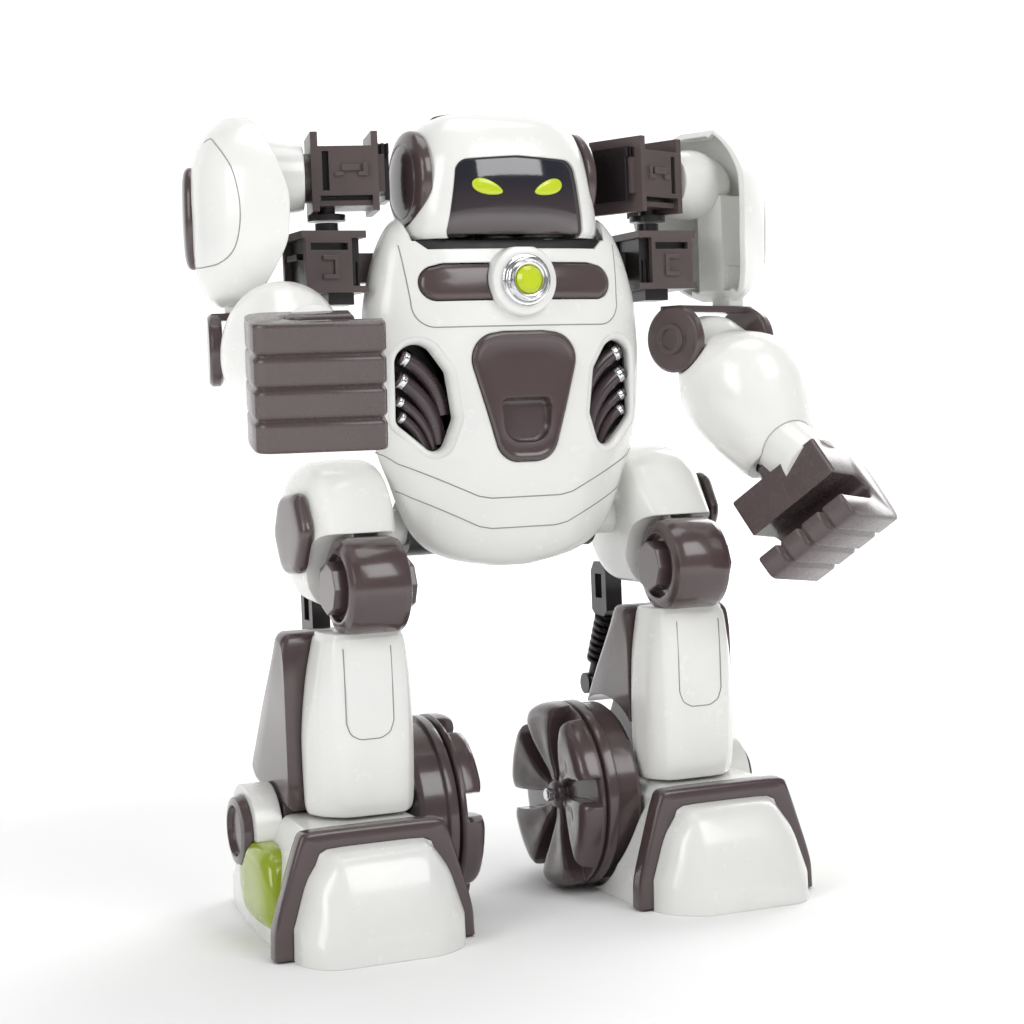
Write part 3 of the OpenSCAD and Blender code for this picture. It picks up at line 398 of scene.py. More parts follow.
LIP = 2.6
def rolled(outline0, dy, g, name, rows=9, surf=None, mirror=False):
    # a rolled edge: from the skin at the grown outline, round into the opening
    surf = surf or front_y
    rings = []
    N = 160
    base = [even(hull2([(a, b, r + g * (1 - math.sin(k / (rows - 1) * pi / 2))) for a, b, r in outline0]), N) for k in range(rows)]
    # line the rings up by angle about the outline's middle
    cx = sum(a for a, b, r in outline0) / len(outline0); cz = sum(b for a, b, r in outline0) / len(outline0)
    for k in range(rows):
        ph = k / (rows - 1) * pi / 2
        pts = sorted(base[k], key=lambda p: math.atan2(p[1] - cz, p[0] - cx))
        d = dy * (1 - math.cos(ph))
        rings.append([((-x if mirror else x), surf(x, z) + d + 0.01, z) for x, z in pts])
    # short wall behind the roll
    rings.append([(p[0], p[1] + 2.0, p[2]) for p in rings[-1]])
    return loft(name, rings, caps=False)

def make_front():
    o = torso_loft(0)
    boolean(o, box((-70, -60, 120), (70, SEAM_Y, 270)), "INTERSECT")
    boss = turn("boss", [(0, -26), (13, -26), (13, -36.3), (12.6, -37.1), (11.8, -37.5), (0, -37.5)], 0, 237.4, axis="y")
    boolean(o, boss, "UNION")
    cav = torso_loft(-WALL)
    boolean(cav, box((-70, -60, 100), (70, SEAM_Y - WALL, 270)), "INTERSECT")
    boolean(cav, rod(-40, -25, 13, 0, 237.4, "y"))
    boolean(o, cav)
    boolean(o, back_loft(-WALL))
    boolean(o, yprism(shield, -50, -20))
    bb = yprism(bar, -50, -20)
    boolean(bb, rod(-60, -10, 13, 0, 237.4, "y"))
    boolean(o, bb)
    g = grown(VENT, LIP)
    boolean(o, yprism(g, -60, -13.2))
    boolean(o, yprism(mirx(g), -60, -13.2))
    boolean(o, rod(252.9, 273, 41.2, NECK_Y, 0, "z"))
    boolean(o, yprism(lip_poly(0.2), -60, -20))
    boolean(o, rod(-45, -20, 8.5, 0, 237.4, "y"))
    join(o, rolled(VENT, 3.2, LIP, "r1"), rolled(VENT, 3.2, LIP, "r2", mirror=True))
    return o

put(make_front(), SHELL, "torso", ["torso_front_shell"], "front_shell")

def make_back():
    o = back_loft(0)
    boolean(o, box((-70, SEAM_Y, 120), (70, 60, 270)), "INTERSECT")
    boolean(o, back_loft(-WALL))
    boolean(o, yprism([(-19, 176), (19, 176), (19, 224), (-19, 224)], 20, 60))
    boolean(o, rod(252.9, 273, 41.2, NECK_Y, 0, "z"))
    for s in (-1, 1):
        a, b = (15.6, 60) if s > 0 else (-60, -15.6)
        boolean(o, rod(a, b, 11.3, 0, HIP_Z))
        c, d = (38, 60) if s > 0 else (-60, -38)
        boolean(o, box((c, -8.2, 236.8), (d, 6.2, 252.2)))
        for z in (166, 238):
            boolean(o, rod(5, 60, 3.1, 0, z, "y", 32, x=27 * s))
    return o

put(make_back(), SHELL, "torso", ["torso_back_shell"], "back_shell")

# belly panel with its finger recess, and the chest bar, both a little proud of the skin
def make_shield():
    n = 160
    out = even(hull2([(a, b, r - 0.3) for a, b, r in SHIELD]), n)
    cx, cz = 0.0, 196.0
    rings = []
    for g, d in ((0.02, 6.2), (1.0, 6.2), (1.0, -0.2), (0.995, -0.7), (0.985, -1.05), (0.965, -1.25), (0.945, -1.28), (0.92, -1.15), (0.895, -0.8), (0.87, -0.62), (0.6, -0.6), (0.3, -0.6), (0.02, -0.6)):
        rings.append([(cx + (x - cx) * g, front_y(cx + (x - cx) * g, cz + (z - cz) * g) + d, cz + (z - cz) * g) for x, z in out])
    o = loft("shield", rings)
    # the recess: a rounded half-moon scooped into the lower part
    cut = hull2([(-7.2, 191.5, 2.6), (7.2, 191.5, 2.6), (-2, 185, 7.4), (2, 185, 7.4)])
    k = even(cut, 96)
    cr = []
    for g, y in ((1.07, -45), (1.07, -35.6), (1.0, -34.6), (0.985, -33.0), (0.95, -31.8), (0.88, -31.2), (0.78, -31.0)):
        cr.append([(x * g, y - (0.0 if y < -40 else (z - 193.5) * -0.10), 187 + (z - 187) * g) for x, z in k])
    boolean(o, loft("cut", cr))
    return o

put(make_shield(), TRIM, "torso", ["belly_panel"], "belly_shield", 28)

def make_bar():
    n = 200
    out = even(hull2([(-32, 237, 6.2), (32, 237, 6.2), (-29, 242, 2.0), (29, 242, 2.0)]), n)
    cz = 237.6
    rings = []
    for g, h, d in ((1.0, 1.0, 2.4), (1.0, 1.0, 0.6), (0.995, 0.97, -0.1), (0.985, 0.90, -0.7), (0.965, 0.76, -1.1), (0.93, 0.5, -1.3), (0.88, 0.25, -1.35), (0.80, 0.02, -1.35)):
        rings.append([(x * g, front_y(x * g, cz + (z - cz) * h) + d, cz + (z - cz) * h) for x, z in out])
    o = loft("bar", rings)
    boolean(o, rod(-60, -10, 13.15, 0, 237.4, "y"))
    return o

put(make_bar(), TRIM, "torso", ["chest_bar"], "chest_bar_moulded", 28)

# stepped plated bezel round the button
bz = turn("bezel", [(5.12, -29.6), (5.12, -40.6), (5.4, -41.2), (6.0, -41.6), (6.5, -41.55), (6.75, -41.1), (6.9, -40.9), (7.15, -41.1), (7.5, -41.25), (7.9, -41.0), (8.3, -40.5), (8.45, -40.0), (8.45, -39.5), (8.7, -39.35), (9.2, -39.3), (9.55, -38.9), (9.55, -37.6), (8.45, -37.55), (8.45, -29.6), (5.12, -29.6)], 0, 237.4, axis="y", n=128)
put(bz, CHROME, "torso", ["button_bezel"], "stepped_bezel", 40)

# thin panel lines: tubes let into the skin, their grey painted shade standing in for the shade in moulded grooves
def line_on_front(name, pts, r=0.24, o=-0.02):
    p = np.array(pts, float)
    d = np.r_[0, np.cumsum(np.linalg.norm(np.diff(p, axis=0), axis=1))]
    s = np.linspace(0, d[-1], max(24, int(d[-1] / 0.8)))
    q = [(float(np.interp(t, d, p[:, 0])), float(np.interp(t, d, p[:, 1]))) for t in s]
    t = tube(name, [(x, front_y(x, z, o), z) for x, z in q], r, GROOVE_SHADE, 8)
    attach(t, "torso")
    return t

def arc(cx, cz, r, a0, a1, n=12):
    return [(cx + r * math.cos(math.radians(a0 + (a1 - a0) * i / n)), cz + r * math.sin(math.radians(a0 + (a1 - a0) * i / n))) for i in range(n + 1)]

for_u = [(-43.5, 251.5), (-42.5, 240)] + arc(-33, 229.5, 8.6, 175, 268) + [(0, 220.9)] + arc(33, 229.5, 8.6, 272, 365) + [(42.5, 240), (43.5, 251.5)]
line_on_front("line_chest_u", for_u)
line_on_front("line_lower_v1", [(-52, 176), (-47, 171.6), (-19, 158.6), (-14, 157.6), (14, 157.6), (19, 158.6), (47, 171.6), (52, 176)])
line_on_front("line_lower_v2", [(-46, 161.4), (-42, 158.8), (-18, 147.2), (-13, 146.2), (13, 146.2), (18, 147.2), (42, 158.8), (46, 161.4)])

# collar hoses behind the vents
HOSES = [(55.7, 185.3, 28, 120.3, 52, 3.1, -21.4), (59.9, 176.3, 30, 124.4, 52, 3.0, -21.4), (58, 171.8, 26, 123, 49, 1.9, -21), (57, 170.4, 22, 127.6, 42, 1.9, -21)]
def make_hoses():
    black, coll, ribs = [], [], []
    for s in (-1, 1):
        for h in HOSES:
            def p(a, s=s, h=h):
                return (s * (h[0] + h[2] * math.cos(math.radians(a))), h[6], h[1] + h[2] * math.sin(math.radians(a)))
            black.append(tube("h", [p(h[3] - 7 + (h[4] + 7) * i / 30) for i in range(31)], h[5], HOSE, 28))
            seg = [p(h[3] - 5 + 5 * i / 8) for i in range(9)]
            coll.append(tube("c", seg, h[5], CHROME, 32, rr=[h[5] + 0.05, h[5] + 0.32, h[5] + 0.38, h[5] + 0.38, h[5] + 0.34, h[5] + 0.38, h[5] + 0.38, h[5] + 0.3, h[5] + 0.05]))
    b = join(black[0], *black[1:]); c = join(coll[0], *coll[1:])
    return b, c

hb, hc = make_hoses()
put(hb, HOSE, "torso", ["vent_hoses"], "vent_hose_set", 60)
put(hc, CHROME, "torso", [], "vent_hose_collars", 60)

# painted shade: a dark sheet behind the vents, standing in for the shade inside the torso, so no light shows through
for s in (-1, 1):
    g = even(grown(VENT, 1.4), 64)
    g = [(s * x, z) for x, z in g]
    ln = loft("liner", [[(x, -16.6, z) for x, z in g], [(x, -15.6, z) for x, z in g]])
    put(ln, BLACK_AND_SHADE, "torso", [], "vent_shade_sheet_" + SIDE[s])

# ---------------------------------------------------------------- head
HEAD = dense([[253.6, 38.2, -31.6, 10], [256, 39, -33.6, 12], [263, 38.6, -35.4, 14], [272, 37.2, -35.8, 14.6], [281, 35.2, -34.8, 14.2],
  [289, 32.8, -32.2, 12.8], [294.6, 29.8, -28.8, 10.6], [298.4, 25.4, -24.4, 7.4], [300.8, 19, -19, 3.4], [301.8, 12, -14, -1]])
def head_loft(o, top=True):
    rs = [ring(s[0] + (-o if s[0] < 255 else o if s[0] > 300 else 0), s[1] + o, s[2] - o, -8, s[3] + o, 2.9, 2.6, 144) for s in HEAD]
    # close the crown softly
    z, a, yf, yb = HEAD[-1]
    for g, dz in ((0.72, 0.28), (0.42, 0.48), (0.14, 0.58)):
        rs.append([(p[0] * g, -8 + (p[1] + 8) * g, z + o + dz) for p in ring(0, a + o, yf - o, -8, yb + o, 2.9, 2.6, 144)])
    return loft("hl", rs)

def head_y(x, z, o=0.0):
    a = float(np.interp(z, HEAD[:, 0], HEAD[:, 1])) + o
    yf = float(np.interp(z, HEAD[:, 0], HEAD[:, 2])) - o
    q = max(0.0, 1 - min(1.0, abs(x) / a) ** 2.9) ** (1 / 2.9)
    return -8 - (-8 - yf) * q

VIS = [(-18.8, 276.8, 5.4), (18.8, 276.8, 5.4), (-24, 256.2, 3.4), (24, 256.2, 3.4), (0, 278, 5.4)]
visor_poly = hull2(VIS)
def eye_poly(s, g=1.0):
    out = []
    for i in range(64):
        t = 2 * pi * i / 64
        # drawn-out almond with a blunt inner end
        x, z = 6.0 * g * math.cos(t), 6.2 * 0.43 * g * math.sin(t) * (1 + 0.28 * math.cos(t))
        a = math.radians(17)
        out.append((s * (12.2 + x * math.cos(a) - z * math.sin(a)), 271.6 + x * math.sin(a) + z * math.cos(a)))
    return out if s > 0 else out[::-1]

def make_head():
    o = head_loft(0)
    inner = head_loft(-2.6)
    boolean(inner, rod(262, 307, 11, NECK_Y, 0, "z"))
    boolean(o, inner)
    boolean(o, box((-30, -24, 240), (30, 8, 256.2)))
    boolean(o, yprism(visor_poly, -60, -18))
    for s in (-1, 1):
        a, b = (31.6, 60) if s > 0 else (-60, -31.6)
        boolean(o, rod(a, b, 19, -9.4, 275.8))
    boolean(o, box((-22, -6, 297), (22, 3.5, 310)))
    boolean(o, rod(240, 280, 8, NECK_Y, 0, "z"))
    return o

put(make_head(), SHELL, "head", ["head_shell"], "helmet")

def make_visor():
    o = head_loft(-1.3)
    boolean(o, yprism(hull2([(a, b, r - 0.05) for a, b, r in VIS]), -60, -18), "INTERSECT")
    boolean(o, head_loft(-3.4))
    return o

put(make_visor(), VISOR, "head", ["visor"], "visor_lens", 40)

def make_eyes():
    both = []
    for s in (-1, 1):
        rings = []
        base = eye_poly(s)
        cx, cz = s * 12.2, 271.6
        for g, d in ((1.0, 1.2), (1.0, -0.1), (0.97, -0.35), (0.9, -0.5), (0.7, -0.62), (0.35, -0.68), (0.05, -0.7)):
            rings.append([(cx + (x - cx) * g, head_y(cx + (x - cx) * g, cz + (z - cz) * g, -1.3) + d, cz + (z - cz) * g) for x, z in base])
        both.append(loft("eye", rings))
    return join(both[0], both[1])

put(make_eyes(), LIME, "head", ["eye_lenses"], "eyes", 50)

def make_ears():
    parts = []
    prof = [(0, 31.6), (19, 31.6), (19, 33.6), (18.85, 34.1), (18.5, 34.8), (17.9, 35.4), (16.6, 36.0), (15, 36.6), (14.2, 36.75), (13.9, 36.5), (13.6, 36.5), (13.2, 36.9), (11, 37.4), (8.4, 37.8), (4, 38.1), (0, 38.2)]
    for s in (-1, 1):
        o = turn("ear", prof, -9.4, 275.8, 128)
        if s < 0:
            move(o, MX)
        parts.append(o)
    band = head_loft(0.55)
    boolean(band, box((-22, -6, 297), (22, 3.5, 310)), "INTERSECT")
    boolean(band, head_loft(-2.6))
    return join(parts[0], parts[1], band)

put(make_ears(), TRIM, "head", ["head_trim"], "ear_discs", 25)

# ---------------------------------------------------------------- arms
ARM = dense([[230.4, 97.4, 106.6, -26, -10], [234, 93.4, 111.4, -33, -3.6], [243, 87.4, 114.4, -39, 3.6], [254, 82.6, 115.4, -42.6, 9],
  [266, 81.8, 115.8, -43.6, 12.4], [277, 84.2, 115.2, -41.6, 12.6], [286, 87.4, 113, -36, 9.6], [293, 90.6, 109, -28.6, 4.2], [298, 94, 103.4, -20.4, -3.8]])
def leaf(s, o, n=72):
    ym, h, d = (s[3] + s[4]) / 2, (s[4] - s[3]) / 2 + o, s[2] - s[1] + o
    r = []
    for i in range(n + 1):
        t = math.radians(-90 + 180 * i / n)
        r.append((s[1] + d * pw(max(0.0, math.cos(t)), 0.9), ym + h * pw(math.sin(t), 0.86), s[0] + (-o if s[0] < 233 else o if s[0] > 297 else 0)))
    return r

def armour_loft(o):
    return loft("al", [leaf(s, o) for s in ARM])

def leaf_pt(z, t, o=0.0):
    s = [float(np.interp(z, ARM[:, 0], ARM[:, c])) for c in range(5)]
    ym, h, d = (s[3] + s[4]) / 2, (s[4] - s[3]) / 2 + o, s[2] - s[1] + o
    a = math.radians(t)
    return (s[1] + d * pw(max(0.0, math.cos(a)), 0.9), ym + h * pw(math.sin(a), 0.86), z)

def make_armour(s):
    o = armour_loft(0)
    inner = armour_loft(-2.4)
    move(inner, T(-2.4, 0, 0))
    boolean(o, inner)
    core = armour_loft(-1.2)
    boolean(core, box((93, -24, 220), (106, -12, 272)), "INTERSECT")
    boolean(o, core, "UNION")
    tb = turn("tube", [(0, 84), (5, 84), (5, 74.4), (11.6, 74.4), (12.1, 76), (12.6, 80), (13.3, 85), (13.8, 90), (13.2, 95), (12, 100), (9, 106), (0, 108)], SWY, SWZ)
    lim = armour_loft(-1.0)
    boolean(lim, box((60, -60, 220), (92, 40, 310)), "UNION")
    boolean(tb, lim, "INTERSECT")
    boolean(o, tb, "UNION")
    boolean(o, rod(70, 84, 5, SWY, SWZ), "UNION")
    boolean(o, box((96, -24.4, 228), (105, -16, 244)), "UNION")
    cap = [(-11 + 18.5 * 0.62 * math.cos(2 * pi * i / 72), 263 + 18.5 * math.sin(2 * pi * i / 72)) for i in range(72)]
    boolean(o, xprism(cap, 112, 130))
    return move(o, arm_m(s))

def make_cap(s):
    rings = []
    for x, g in ((112, 1), (115.4, 1), (116.2, 0.985), (116.9, 0.95), (117.5, 0.88), (118.0, 0.74), (118.3, 0.5), (118.4, 0.25), (118.4, 0.03)):
        rings.append([(x, -11 + 18.5 * 0.62 * g * math.cos(2 * pi * i / 72), 263 + 18.5 * g * math.sin(2 * pi * i / 72)) for i in range(72)])
    return move(loft("cap", rings), arm_m(s))

for s in (-1, 1):
    nm = SIDE[s]
    put(make_armour(s), SHELL, nm + "_upper_arm", [nm + "_shoulder_armour"], nm + "_armour_shell")
    put(make_cap(s), TRIM, nm + "_upper_arm", [nm + "_shoulder_cap"], nm + "_armour_cap", 28)
    # panel line round the front of the armour, a grey tube whose colour is painted groove shade
    path = [(289, -24), (290, -34)] + [(284, -52), (276, -60)] + [(262, -62), (250, -58), (246, -50), (244.6, -40), (244.2, -22), (244.6, -6)]
    p = np.array(path, float); q = np.linspace(0, len(p) - 1, 70)
    zt = [(float(pchip(np.arange(len(p)), p[:, 0], np.array([t]))[0]), float(pchip(np.arange(len(p)), p[:, 1], np.array([t]))[0])) for t in q]
    ln = tube(nm + "_armour_line", [leaf_pt(z, t, -0.03) for z, t in zt], 0.22, GROOVE_SHADE, 8)
    move(ln, arm_m(s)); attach(ln, nm + "_upper_arm")

FORE = dense([[-7.6, 10, 5.4, 6.4], [-4, 14.6, 8.6, 9], [1, 18, 10, 12], [5, 19.4, 12, 14.4], [9, 20.4, 16, 16.6], [14, 21.2, 21, 18.8], [19, 21.6, 24.6, 20.4], [26, 21.8, 26.6, 21.4],
  [33, 21.2, 26, 21.2], [41, 19.6, 22.8, 19.6], [50, 17, 18.4, 17.2], [56, 15.2, 15.8, 15.4], [58, 14, 14.6, 14.4]])
def make_forearm(s):
    rings = []
    for q in FORE:
        dx = (-4 if s > 0 else 0) * min(1, max(0, (q[0] - 2) / 16))
        rings.append([(FX + dx + p[0], p[1], -q[0]) for p in ring(0, q[1], -q[2], 0, q[3], 2.1, 2.1, 128)])
    z, a, f, b = FORE[0]
    o = loft("fa", rings)
    boolean(o, rod(50, 120, 4.06, 0, 0, n=48))
    boolean(o, rod(50, 66.7, 13.4, 0, 0))
    boolean(o, rod(106.3, 125, 13.4, 0, 0))
    hx = FX + HDX[s]
    boolean(o, rod(-60, -38, 7.06, 0, 0, "z", x=hx))
    boolean(o, rod(-62, -49, 11.2, 0, 0, "z", x=hx))
    c = rod(-30, 0, 11.6, 0, 0, "z", x=0)
    move(c, T(hx, 0, -46) @ R(14, "Y") @ R(-24, "X"))
    boolean(o, c)
    return move(o, fore_m(s))

def grip():
    p = [(-18, -67), (8, -67)]
    for i in range(0, 9):
        t = math.radians(90 - 10 * i)
        p.append((8 + 9 * math.cos(t), -76 + 9 * math.sin(t)))
    p += [(17.2, -84), (16.9, -91), (16.4, -98), (15.6, -100.8), (13.8, -102.4), (11.4, -103)]
    p += [(-5, -103), (-23.2, -103), (-25, -102.2), (-26, -100.4), (-26, -93.4)]
    for i in range(13):
        t = math.radians(-90 + 15 * i)
        p.append((-1 + 5.4 * math.cos(t), -88 + 5.4 * math.sin(t)))
    p += [(-18, -82.6)]
    return p

def make_fist(s):
    base = grip()
    n = len(base)
    ys = np.concatenate([np.linspace(-20.5, -19.3, 5), np.linspace(-19.1, 19.1, 119), np.linspace(19.3, 20.5, 5)])
    cx, cz = -2.0, -85.0
    rings = []
    for y in ys:
        e = max(0.0, (abs(y) - 19.3) / 1.2)
        inset = 1.1 * (1 - math.sqrt(max(0.0, 1 - e * e)))
        # four rounded fingers, each 10.25 wide
        u = ((y + 20.5) % 10.25) / 10.25
        d = min(u, 1 - u) * 10.25
        g = 1.5 * (1 - min(1.0, d / 1.7)) ** 1.6 if abs(y) < 18 else 0.0
        r = []
        for i in range(n):
            x, z = base[i]
            a, b = base[i - 1], base[(i + 1) % n]
            tx, tz = b[0] - a[0], b[1] - a[1]
            L = math.hypot(tx, tz) or 1
            nx, nz = -tz / L, tx / L        # outward for this clockwise outline
            w = 1.0 if (z < -83 and (x > 10 or z < -93)) else 0.35 if x > 14 else 0.0
            k = inset * 0.9 + g * w
            r.append((x - nx * k, y, z - nz * k))
        rings.append(r)
    o = loft("fist", rings)
    boolean(o, turn("w", [(0, -39), (7, -39), (7, -50), (10, -50.4), (10, -58.6), (10.6, -59.2), (11.4, -59.6), (11.4, -67.5), (0, -67.5)], 0, 0, axis="z"), "UNION")
    return move(o, fore_m(s) @ T(FX + HDX[s], 0, 0) @ R(ROLL[s], "Z"))

for s in (-1, 1):
    nm = SIDE[s]
    put(make_forearm(s), SHELL, nm + "_forearm", [nm + "_forearm_shell"], nm + "_forearm_moulding")
    put(make_fist(s), FIST, nm + "_hand", [nm + "_fist"], nm + "_fist_moulding", 30)

# ---------------------------------------------------------------- legs
def hull3(name, pts):
    bm = bmesh.new()
    for p in pts:
        bm.verts.new(Vector(p) * MM)
    r = bmesh.ops.convex_hull(bm, input=bm.verts)
    bmesh.ops.delete(bm, geom=[v for v in bm.verts if not v.link_faces], context="VERTS")
    bmesh.ops.recalc_face_normals(bm, faces=bm.faces)
    me = bpy.data.meshes.new(name); bm.to_mesh(me); bm.free()
    o = bpy.data.objects.new(name, me); SC.collection.objects.link(o)
    return o

def circ_pts(prof, y, z, n):
    return [(u, y + r * math.cos(2 * pi * i / n), z + r * math.sin(2 * pi * i / n)) for r, u in prof for i in range(n)]

def smooth_prof(prof, k=4):
    p = np.array(prof, float)
    t = np.r_[0, np.cumsum(np.linalg.norm(np.diff(p, axis=0), axis=1))]
    q = np.concatenate([np.linspace(t[i], t[i + 1], k, endpoint=False) for i in range(len(t) - 1)] + [[t[-1]]])
    return list(zip(pchip(t, p[:, 0], q), pchip(t, p[:, 1], q)))

def make_thigh(s):
    a = [(0, 48.6)] + smooth_prof([(20, 48.6), (24.6, 51), (26.6, 56), (27, 64), (26.2, 73), (22.6, 79), (17, 81.6)]) + [(0, 81.6)]
    b = [(0, 53)] + smooth_prof([(10, 53), (14, 56), (14.8, 66), (14, 76), (10, 79)]) + [(0, 79)]
    o = hull3("thigh", circ_pts(a, -1, HIP_Z, 96) + circ_pts(b, KNEE_Y + 9, KNEE_Z + 6, 96))
    boolean(o, rod(59, 69, 10, KNEE_Y, KNEE_Z), "UNION")
    boolean(o, box((59, KNEE_Y, KNEE_Z - 7), (69, KNEE_Y + 16, KNEE_Z + 10)), "UNION")
    boolean(o, rod(20, 52, 7, 0, HIP_Z), "UNION")
    c = rod(40, 100, 19.2, KNEE_Y, KNEE_Z)
    boolean(c, box((59, -90, 60), (69, 40, 200)))
    boolean(o, c)
    d = rod(59, 69, 19.2, KNEE_Y, KNEE_Z)
    boolean(d, rod(58, 70, 10, KNEE_Y, KNEE_Z))
    boolean(d, box((58, KNEE_Y, KNEE_Z - 7), (70, KNEE_Y + 24, KNEE_Z + 10)))
    boolean(o, d)
    boolean(o, rod(50, 90, 5, KNEE_Y, KNEE_Z))
    return move(o, MX) if s < 0 else o

def chaikin(r, k=3):
    for _ in range(k):
        q = []
        for i in range(len(r)):
            a, b = np.array(r[i]), np.array(r[(i + 1) % len(r)])
            q.append(tuple(a * 0.75 + b * 0.25)); q.append(tuple(a * 0.25 + b * 0.75))
        r = q
    return r

def make_lamp(s):
    base = [(-29, 6.4), (-3, 6.4), (7, 11), (9.6, 27), (2, 35.4), (-22, 36), (-31, 29), (-34, 11)]
    pts = chaikin(base, 3)
    rings = []
    for x, g in ((97.4, 1), (101.5, 1), (103.0, 0.985), (104.4, 0.94), (105.6, 0.85), (106.3, 0.72), (106.7, 0.5), (106.8, 0.25), (106.8, 0.03)):
        rings.append([(x, -13 + (p[0] + 13) * g, 21 + (p[1] - 21) * g) for p in pts])
    o = loft("lamp", rings)
    boolean(o, rod(90, 120, 13.6, AX_Y, AX_Z))
    return move(o, MX) if s < 0 else o

TOE = dense([[-67, 55, 90, 58, 84, 9], [-65.6, 51, 94, 56, 85.4, 16], [-61.6, 45, 98, 53, 87.4, 28], [-57, 41, 100.4, 51.6, 88.4, 35.6], [-53, 39.4, 101.4, 51, 89.4, 37.8], [-48.6, 38.6, 102, 50.4, 90.4, 38.8]], 5)
REAR = dense([[-40, 36, 103.4, 49, 94.4, 44.4], [-20, 36, 103, 50, 93.6, 44.8], [0, 36.6, 101.4, 51, 92.6, 44.8], [26, 38, 99.4, 54, 91.6, 44.4], [44, 41, 97.2, 57, 88, 40], [56, 46, 94.6, 60, 85, 30], [62, 53, 88, 62, 80, 14]], 5)
def foot_ring(s):
    p = [(s[1], 0.0), (s[2], 0.0), (s[2] - 0.2, s[5] * 0.3), (s[2] * 0.55 + s[4] * 0.45, s[5] * 0.72), (s[4] + 0.6, s[5] - 2.4), (s[4] - 2.4, s[5]), (s[3] + 2.4, s[5]), (s[3] - 0.6, s[5] - 2.4), (s[1] * 0.55 + s[3] * 0.45, s[5] * 0.72), (s[1] + 0.2, s[5] * 0.3)]
    # keep the sole flat; round everything above it
    up = p[2:] 
    for _ in range(2):
        q = [up[0]]
        for i in range(len(up) - 1):
            a, b = np.array(up[i]), np.array(up[i + 1])
            q.append(tuple(a * 0.85 + b * 0.15)); q.append(tuple(a * 0.15 + b * 0.85))
        q.append(up[-1])
        up = q
    return [(x, s[0], z) for x, z in [p[0], p[1]] + up]

def neck_poly(o):
    return [(40 - o, 0.8), (102 + o, 0.8), (101.6 + o, 12), (91.4 + o, 37 + o), (88.6 + o, 38.4 + o), (52.4 - o, 38.4 + o), (49.6 - o, 37 + o), (40.4 - o, 12)]

def make_foot(s):
    o = loft("foot", [foot_ring(t) for t in TOE])
    b = loft("rear", [foot_ring(t) for t in REAR])
    boolean(o, yprism(neck_poly(0), -49, -39.6), "UNION")
    boolean(o, b, "UNION")
    boolean(o, rod(93, 103, 17, AX_Y, AX_Z), "UNION")
    boolean(o, box((93, -10, 20), (100, 22, AX_Z)), "UNION")
    boolean(o, rod(0, 47, 38.1, AX_Y, AX_Z))
    boolean(o, rod(0, 63.4, 15, AX_Y, AX_Z))
    boolean(o, rod(80, 110, 6, AX_Y, AX_Z, n=48))
    boolean(o, rod(63.4, 92.8, 15.8, AX_Y, AX_Z))
    boolean(o, box((63.4, -9.8, AX_Z), (92.8, 23.4, 60)))
    base = [(-34, 11), (-31, 29), (-22, 36), (2, 35.4), (9.6, 27), (7, 11), (-3, 6.4), (-29, 6.4)]
    boolean(o, xprism(chaikin(base, 3), 97.4, 115))
    for y in (-34, 34):
        boolean(o, rod(-1, 10, 1.6, y, 0, "z", 24, x=75))
    return move(o, MX) if s < 0 else o

SHIN = dense([[46, 54, 76, 47.6, 86.2, -36, -17], [50, 53.6, 77, 47, 87, -37, -17], [70, 53, 78.6, 46.6, 87.4, -38, -17], [92, 52.4, 79.4, 47.4, 85.4, -38, -17], [106, 52.6, 79, 49.4, 82.6, -37.4, -17], [112.2, 53.4, 78, 50.6, 81, -36.4, -17]], 5)
def soften(p, keep=0.86, k=2):
    for _ in range(k):
        q = []
        for i in range(len(p)):
            a, b = np.array(p[i]), np.array(p[(i + 1) % len(p)])
            q.append(tuple(a * keep + b * (1 - keep))); q.append(tuple(a * (1 - keep) + b * keep))
        p = q
    return p

def make_shin(s):
    def rg(q, g=1.0):
        z, a, b, c, d, f, r = q
        cy = (f + r) / 2; cx = (c + d) / 2
        p = soften([(a, f), (b, f), ((b + d * 2) / 3 + 0.8, f + 7), (d, r - 4), (d - 0.6, r), (c + 0.6, r), (c, r - 4), ((a + c * 2) / 3 - 0.8, f + 7)])
        return [(cx + (x - cx) * g, cy + (y - cy) * g, z) for x, y in p]
    rs = [rg(q) for q in SHIN]
    top, bot = SHIN[-1].copy(), SHIN[0].copy()
    first = []
    for g, dz in ((0.985, 0.0), (1.0, 0.5)):
        q = bot.copy(); q[0] = 46 + dz; first.append(rg(q, g))
    last = []
    for g, dz in ((1.0, 1.5), (0.993, 0.6), (0.975, 0.15), (0.94, 0.0)):
        q = top.copy(); q[0] = 112.2 - dz; last.append(rg(q, g))
    rs = first + [r for r in rs if 46.6 < r[0][2] < 110.6] + last
    o = loft("shin", rs)
    return move(o, MX) if s < 0 else o

def make_calf(s):
    pts = soften([(-17, 46), (-17, 111), (-4, 112.2), (1, 104), (17, 82), (31, 60), (34, 55), (29, 50.8), (-2, 46)], 0.85, 3)
    rs = []
    for x, q in ((46.6, 0.90), (46.75, 0.925), (47.2, 0.955), (47.9, 0.98), (49, 1), (89, 1), (90.4, 0.98), (91.3, 0.955), (91.9, 0.93), (92.2, 0.89)):
        rs.append([(x, p[0] if p[0] < -10 else p[0] - (1 - q) * 38, 79 + (p[1] - 79) * q) for p in pts])
    o = loft("calf", rs)
    boolean(o, rod(64, 92, 15, AX_Y, AX_Z), "UNION")
    boolean(o, box((64, -9, AX_Z), (92, 21, 50)), "UNION")
    boolean(o, rod(70, 100, 6.06, AX_Y, AX_Z))
    boolean(o, rod(30, 60, 38.1 - 0.6, AX_Y, AX_Z))
    return move(o, MX) if s < 0 else o

